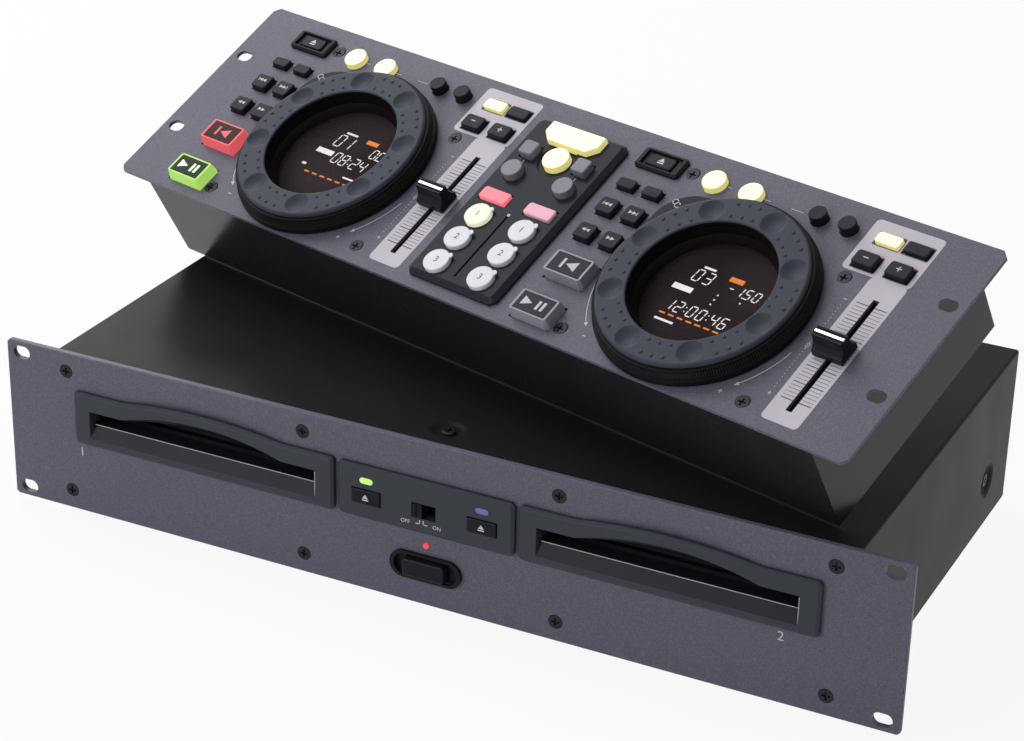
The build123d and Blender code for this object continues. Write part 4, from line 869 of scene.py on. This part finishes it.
# What each display shows, from the middle of its dial: rows of figures (signs, x, y, height, step),
# then boxes that are white, boxes that are orange, and the orange dashes (first x, y, count, step).
SHOWN = {
    "a": ((("01", -14.4, 8.6, 8.0, 6.4), ("0.0", 12.4, 8.6, 6.0, 4.8), ("08:24", -7.2, -1.6, 7.0, 5.6)),
          ((-12.0, 18.0, -4.0, 19.2), (-20.6, 1.6, -9.0, 4.9), (-22.0, -8.6, -19.2, -7.2),
           (8.4, -8.4, 16.0, -7.4)),
          ((4.0, 16.2, 12.0, 18.8),), (-16.6, -12.4, 6, 5.7)),
    "b": ((("03", -18.0, 8.2, 7.0, 6.4), ("-1.50", 3.0, 8.2, 5.6, 4.9), ("12:00:46", -20.0, -11.6, 6.4, 5.6)),
          ((-16.0, 16.6, -9.0, 17.8), (-24.0, 0.7, -12.6, 3.9), (0.5, 4.6, 1.3, 5.4), (0.5, 1.6, 1.3, 2.4),
           (0.5, -1.4, 1.3, -0.6), (13.5, 4.6, 14.3, 5.4), (-20.0, -18.6, -9.0, -17.4)),
          ((0.4, 14.6, 8.4, 17.4),), (-20.0, -14.6, 7, 5.3)),
}

# The window has no gloss of its own: its cloudy brownish veil is partly the tint of the glass and partly a
# painted reflection.
window_glass, tree, shader = blank("window_glass")
feed(tree, shader.inputs, {
    "Roughness": 0.4, "Specular IOR Level": 0.0, "Alpha": 0.3,
    "Base Color": blended(tree, noise(tree, 24.0), (0.012, 0.005, 0.006, 1), (0.13, 0.105, 0.115, 1))})
dress(frame["nodes"]["display_windows"], window_glass)
display_dark = finish("display_dark", (0.012, 0.009, 0.010), 0.5, 0.6, 0.05, (400.0, 0.0),
                      (0.028, 0.013, 0.015))
figure_white = lit("figure_white", (1.0, 0.93, 0.95), 1.5)
figure_orange = lit("figure_orange", (1.0, 0.28, 0.03), 1.3)


def box(x0, y0, x1, y1):
    """Outline of a box."""
    return [(x0, y0), (x1, y0), (x1, y1), (x0, y1)]


def figure(sign, x, y, height, stroke=0.55):
    """Outlines of a slanted seven-segment figure with its lower left corner at a point."""
    right, half, top = x + height * 0.52, y + height / 2, y + height
    strokes = {"a": (x, top, right, top), "g": (x, half, right, half), "d": (x, y, right, y),
               "f": (x, half, x, top), "e": (x, y, x, half), "b": (right, half, right, top),
               "c": (right, y, right, half)}
    outlines = []
    for name in SEGMENTS[sign]:
        x0, y0, x1, y1 = strokes[name]
        dx, dy = (stroke * -0.65, stroke / 2) if y0 == y1 else (stroke / 2, stroke * -0.65)
        corners = box(x0 - dx, y0 - dy, x1 + dx, y1 + dy)
        outlines.append([(px + SLANT * (py - y), py) for px, py in corners])
    return outlines


def figures(signs, x, y, height, step):
    """Outlines of a row of figures; a point takes no room and a colon a third of a step."""
    outlines = []
    for sign in signs:
        if sign == ".":
            outlines.append(box(x - step * 0.1, y - 0.3, x - step * 0.1 + 0.6, y + 0.3))
        elif sign == ":":
            outlines += [box(x, y + height * up, x + 0.6, y + height * up + 0.6) for up in (0.25, 0.65)]
            x += step * 0.35
        else:
            outlines += figure(sign, x, y, height)
            x += step
    return outlines


def stamped(name, place, material, body, slot, *layers):
    """A thin flat piece made of layers: low, high and the outlines of each, in millimetres."""
    form = bmesh.new()
    for low, high, outlines in layers:
        for outline in outlines:
            prism(form, outline, low, high)
    return settled(form, name, place, material, body, slot)


for side in "ab":
    rows, white_boxes, orange_boxes, (x, y, count, step) = SHOWN[side]
    whites = sum((figures(*row) for row in rows), [box(*corners) for corners in white_boxes])
    oranges = [box(*corners) for corners in orange_boxes] + [
        box(x + i * step, y, x + i * step + DASH[0], y + DASH[1]) for i in range(count)]
    for kind, material, layer in (
            ("face", display_dark, (-0.04, 0, [circle(DISPLAY_RADIUS, DISPLAY_STEPS)])),
            ("figures", figure_white, (0, THIN, whites)), ("dashes", figure_orange, (0, THIN, oranges))):
        stamped(f"display_{kind}_{side}", moved(dial_places[side], 0, 0, DISPLAY_LEVEL), material,
                "controller", "display_glass", layer)


# ---------------- tempo faders
# The knob is a waisted black moulding with grip grooves and a white index line on its crest, drawn in the
# glowing figure material so that it also serves as a painted highlight; its blade runs in a slot through a
# light printed strip with a fine scale on both sides. Sizes in mm, from the deck.
PRINT = 0.06
STRIPS = ((PRINT, (49.4, 29.05, 87.7, 61.05)), (PRINT * 0.98, (66.9, -59.75, 87.2, 29.6)))
STRIP_CORNER = 2.5
OPENINGS = ((54.8, 46.2, 70.0, 55.0, 1.0), (70.8, 46.2, 86.0, 55.0, 1.0), (52.6, 30.6, 66.8, 41.0, 1.0),
            (71.1, 30.6, 85.3, 41.0, 1.0), (75.8, -52.05, 79.2, 17.95, 0.3))
# Rows of printed lines, upwards: name, count, pitch, start, size of one.
ROWS = [(f"scale_{label}_{weight}", count, pitch, (x, -46.25, PRINT + 0.02), (6.8, thick, 0.04))
        for label, x in (("left", 72.6), ("right", 82.4))
        for weight, count, pitch, thick in (("fine", 31, 2.0, 0.26), ("strong", 7, 10.0, 0.5))]
ROWS.append(("dots", 27, 2.0, (63.2, -42.75, 0.03), (0.45, 0.45, 0.05)))

print_lilac = finish("print_lilac", (0.70, 0.65, 0.72), 0.5, 0.62, 0.15, (1500.0, 0.1), (0.60, 0.55, 0.62))
print_grey = finish("print_grey", (0.11, 0.10, 0.13), 0.5, 0.6, 0.1)
print_white = finish("print_white", (0.70, 0.70, 0.74), 0.45, 0.6, 0.15, (1500.0, 0.1), (0.58, 0.58, 0.62))


def rounded_box(x0, y0, x1, y1, radius):
    """Outline of a box with round corners."""
    left, low, right, high = x0 + radius, y0 + radius, x1 - radius, y1 - radius
    return [point for x, y, start in ((right, low, -90), (right, high, 0), (left, high, 90), (left, low, 180))
            for point in arc_points(x, y, radius, start, start + 90)]


def ladder_tree():
    """A row of thin lines at a fixed pitch, all sizes in metres."""
    tree, given, made = rule_tree("line_ladder", (
        ("Count", "Int"), ("Pitch", "Float"), ("Start", "Vector"), ("Size", "Vector")))
    start = wired(tree, "ShaderNodeSeparateXYZ", {0: given["Start"]}).outputs
    index = first(tree, "GeometryNodeInputIndex")
    y = worked(tree, "ADD", start["Y"], worked(tree, "MULTIPLY", index, given["Pitch"]))
    points = points_at(tree, given["Count"], start["X"], y, start["Z"])
    line = first(tree, "GeometryNodeMeshCube", {"Size": given["Size"]})
    return closed_tree(tree, given, made, points, line)


for side in "ab":
    knob = softened(f"tempo_fader_{side}", 0.35, black_key, 3)
    points = [from_panel @ vertex.co / mm for vertex in knob.data.vertices]
    crest = max(p.z for p in points)
    ridge = [p for p in points if p.z > crest - 0.1]
    centre, reach = middle(ridge), breadth(ridge) / 2 - 0.3
    line = box(centre.x - reach, centre.y - 0.65, centre.x + reach, centre.y + 0.65)
    # The crest line glows in the figure material: a painted highlight on the knob.
    stamped(f"tempo_fader_line_{side}", moved(on_panel, 0, 0, crest), figure_white, f"tempo_fader_{side}",
            "key_white", (0, THIN, [line]))
ladder = ladder_tree()
for side, shift in DECKS:
    deck = moved(on_panel, shift, 0)
    strip = stamped(f"tempo_print_{side}", deck, print_lilac, "controller", "panel_paint", *(
        (0, thick, [rounded_box(*corners, STRIP_CORNER)]) for thick, corners in STRIPS))
    form = bmesh.new()
    for opening in OPENINGS:
        prism(form, rounded_box(*opening), -1, 1)
    cut_by(strip, form, deck)
    for name, count, pitch, start, size in ROWS:
        grown(ladder, f"tempo_{name}_{side}", {
            "Count": count, "Pitch": pitch * mm, "Start": Vector(start) * mm, "Size": Vector(size) * mm,
            "Material": print_white if name == "dots" else print_grey},
              "controller", place=deck)


# ---------------- printed marks
# White screen-printed symbols, lines and arcs on the panels, and symbols on the key tops. Only plain
# signs are there: triangles, bars, arrows, figures, plus and minus, and on and off at the slide switch.
# Sizes and places in mm, from the middle of a deck, of the panel or of the front.
DECK_BARS = (
    (-30.75, 50.3, 2.5, 0.35), (-9.55, 50.3, 6.5, 0.35), (9.7, 50.3, 7.0, 0.35),
    (-40.1, -55.25, 2.2, 0.4), (41.5, -55.25, 2.2, 0.4), (41.5, -55.25, 0.4, 2.2),
    (63.2, 13.25, 1.9, 0.4), (63.2, -46.75, 1.9, 0.4), (63.2, -46.75, 0.4, 1.9))
PLATE_BARS = ((-17.2, 21.9, 0.35, 2.6), (17.2, 21.9, 0.35, 2.6))
SWITCH_BARS = ((-3.0, 1.95, 2.5, 0.5), (-2.0, 2.9, 0.5, 2.4), (0.9, 1.95, 2.5, 0.5), (-0.1, 2.9, 0.5, 2.4))
JOG_AT = (1.2, -11.05)
# Arcs beside each dial: start, end, and the way that the arrow at the end points.
ARC_RADIUS, ARC_WIDTH, ARCS = 58.8, 0.4, ((-12, -39, -1), (190, 219, 1))
ARROW_TIP, ARROW_WING = 2.6, 1.1
LEAF_RADIUS, LEAF_ANGLE = 63.4, 140.0
HOT_ACROSS, HOT_ROWS = 14.7, (-17.05, -33.45, -49.85)
FASCIA_FRONT, PLATE_TOP = 3.4, 4.0
print_shadow = finish("print_shadow", (0.10, 0.10, 0.12), 0.5, 0.6, 0.1)


def bar(x, y, wide, tall):
    """Outline of a bar by its middle."""
    return box(x - wide / 2, y - tall / 2, x + wide / 2, y + tall / 2)


def triangle(x, y, size, way, tall):
    """Outline of a triangle pointing right (way 1) or left (way -1)."""
    foot = x - way * size / 2
    return [(foot, y - tall / 2), (x + way * size / 2, y), (foot, y + tall / 2)][::way]


def band(cx, cy, radius, start, end, width):
    """Outline of a thin arc."""
    return (arc_points(cx, cy, radius + width / 2, start, end, 24)
            + arc_points(cx, cy, radius - width / 2, end, start, 24))


def arrow(angle, way):
    """Outline of the arrow head at the end of an arc."""
    cx, cy = arc_points(*JOG_AT, ARC_RADIUS, angle, angle)[0]
    dx, dy = math.cos(math.radians(angle + 90 * way)), math.sin(math.radians(angle + 90 * way))
    return [(cx + dx * ARROW_TIP, cy + dy * ARROW_TIP), (cx - dy * ARROW_WING, cy + dx * ARROW_WING),
            (cx + dy * ARROW_WING, cy - dx * ARROW_WING)]


def eject(y, size):
    """Outlines of a triangle that points up over a bar."""
    half, foot = size / 2, y - size * 0.15
    return [[(-half, foot), (half, foot), (0, y + half)], bar(0, y - size * 0.38, size, size * 0.2)]


def search(way, stop):
    """Outlines of two triangles, against a bar or free."""
    stops = [bar(way * 2.6, 0.6, 0.45, 2.2)] * stop
    return [triangle(x * way, 0.6, 2.4, way, 2.2) for x in (-1.3, 1.1)] + stops


def lettered(text, size, name, place, material, body, slot):
    """A generic figure or word as a thin raised print, centred on its place."""
    curve = bpy.data.curves.new(name, "FONT")
    curve.body = text
    curve.size = size
    curve.align_x = curve.align_y = "CENTER"
    curve.extrude = PRINT / 2
    curve.resolution_u = 3
    holder = bpy.data.objects.new(name, curve)
    scene.collection.objects.link(holder)
    bpy.context.view_layer.update()
    mesh = bpy.data.meshes.new_from_object(holder.evaluated_get(bpy.context.evaluated_depsgraph_get()))
    bpy.data.objects.remove(holder)
    mesh.transform(place @ Matrix.Scale(mm, 4) @ Matrix.Translation((0, 0, PRINT / 2)))
    put(name, mesh, body, slot, material)


def key_top(node, x, y):
    """The place on top of the key of a node nearest to a point of the panel."""
    shells = []
    for shell in shells_of(node):
        flat = [from_panel @ p / mm for p in shell]
        at = middle(flat)
        shells.append((math.hypot(at.x - x, at.y - y), at, max(p.z for p in flat)))
    gap, at, _ = min(shells, key=lambda entry: entry[0])
    return moved(on_panel, at.x, at.y, max(top for other, _, top in shells if other < gap + 1.0))


leaf = arc_points(*JOG_AT, LEAF_RADIUS, LEAF_ANGLE, LEAF_ANGLE)[0]
deck_marks = ([bar(*row) for row in DECK_BARS] + [arrow(end, way) for _, end, way in ARCS]
              + [band(*JOG_AT, ARC_RADIUS, start, end, ARC_WIDTH) for start, end, _ in ARCS])
# Signs on keys of a deck: sign, keys, place, outlines.
KEY_SIGNS = (
    ("search_sign_first", "search_buttons", (-80.0, 15.2), search(-1, True)),
    ("search_sign_last", "search_buttons", (-63.9, 15.2), search(1, True)),
    ("search_sign_back", "search_buttons", (-80.0, -2.8), search(-1, False)),
    ("search_sign_ahead", "search_buttons", (-63.9, -2.8), search(1, False)),
    ("bend_sign_less", "tempo_buttons", (59.7, 35.8), [bar(0, 0.4, 3.0, 0.6)]),
    ("bend_sign_more", "tempo_buttons", (78.2, 35.8), [bar(0, 0.4, 3.0, 0.6), bar(0, 0.4, 0.6, 3.0)]),
    ("eject_sign", "eject_button", (-73, 50.4), eject(0.3, 3.8)),
    ("jog_mode_sign", "jog_mode_button", leaf, [
        band(x, y, 1.5, 20, 330, 0.4) for x, y in ((-1.1, 0.8), (1.1, -0.8))]),
    ("play_sign", "play_button", (-71.1, -52.7), [
        triangle(-4.2, 0, 6.0, 1, 5.4), bar(2.6, 0, 1.6, 5.4), bar(5.6, 0, 1.6, 5.4)]),
    ("cue_sign", "cue_button", (-71.1, -25.7), [triangle(1.8, 0, 6.4, -1, 6.0), bar(-3.4, 0, 1.5, 6.0)]),
)
LIT_SIGNS = {"play_sign_a": sign_green, "cue_sign_a": red_lit}
for side, shift in DECKS:
    stamped(f"panel_marks_{side}", moved(on_panel, shift, 0), print_white, "controller", "panel_paint",
            (0, PRINT, deck_marks), (0, THIN, figure("0", 62.4, -18.0, 2.4, 0.35)))
    for sign, keys, (x, y), outlines in KEY_SIGNS:
        name, node = f"{sign}_{side}", f"{keys}_{side}"
        place = key_top(node, shift + x, y)
        if sign == "jog_mode_sign":
            place = moved(on_panel, shift + x, y, (from_panel @ place.translation).z / mm)
        stamped(name, place, LIT_SIGNS.get(name, print_white), node, "key_white", (0, PRINT, outlines))
    node = f"hot_cue_buttons_{side}"
    for i, y in enumerate(HOT_ROWS, 1):
        spot = key_top(node, math.copysign(HOT_ACROSS, shift), y)
        stamped(f"hot_cue_ear_{i}_{side}", spot, white_key, node, "key_white",
                (-0.9, -0.1, [circle(1.5, 20, 5.0, 5.0)]))
        lettered(str(i), 5.0, f"hot_cue_figure_{i}_{side}", spot, print_shadow, node, "key_white")

stamped("plate_marks", moved(on_panel, 0, 0, PLATE_TOP), print_white, "controller", "gloss_black",
        (0, PRINT, [bar(*row) for row in PLATE_BARS] + [circle(0.9, 20, 0, -10.4)]))
fascia_face = moved(on_front, 0, 0, FASCIA_FRONT)
stamped("switch_marks", fascia_face, print_white, "player", "slate_plastic",
        (0, PRINT, [bar(*row) for row in SWITCH_BARS]))
for text, x in (("OFF", -9.8), ("ON", 7.2)):
    lettered(text, 2.9, f"switch_{text.lower()}", moved(fascia_face, x, 1.75), print_white, "player",
             "slate_plastic")
for side in "ab":
    low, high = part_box(f"player_eject_button_{side}")
    face = Matrix.Translation(((low.x + high.x) / 2, low.y, (low.z + high.z) / 2)) @ on_front
    stamped(f"player_eject_sign_{side}", face, print_white, f"player_eject_button_{side}", "key_white",
            (0, PRINT, eject(0, 3.4)))
for text, x, z in (("1", -198.3, -10.0), ("2", 181.7, -9.0)):
    lettered(text, 7.0, f"player_number_{text}", moved(on_front, x, z), print_white, "player", "panel_paint")


# ---------------- lamps of the player
# Two oval lenses over the eject keys, the left one lit green, and a small red lamp over the power
# button. All three are clear mouldings let in from behind.
lens_green = lit("lens_green", (0.60, 0.92, 0.20), 0.75, (0.3, 0.4, 0.12))
lens_red = lit("lens_red", (0.85, 0.08, 0.10), 0.75, (0.35, 0.04, 0.05))
lens_grey = finish("lens_grey", (0.16, 0.17, 0.40), 0.2, 0.3, 0.3)


def lamp_of(at, points):
    """The lamp material of a lens by where it is on the front."""
    place = on_panel @ (at * mm)
    if place.z < 0:
        return lens_red
    return lens_green if place.x < 0 else lens_grey


paint_shells(softened("indicator_lenses", 0.2, lens_green, 3), [lens_green, lens_grey, lens_red], lamp_of)
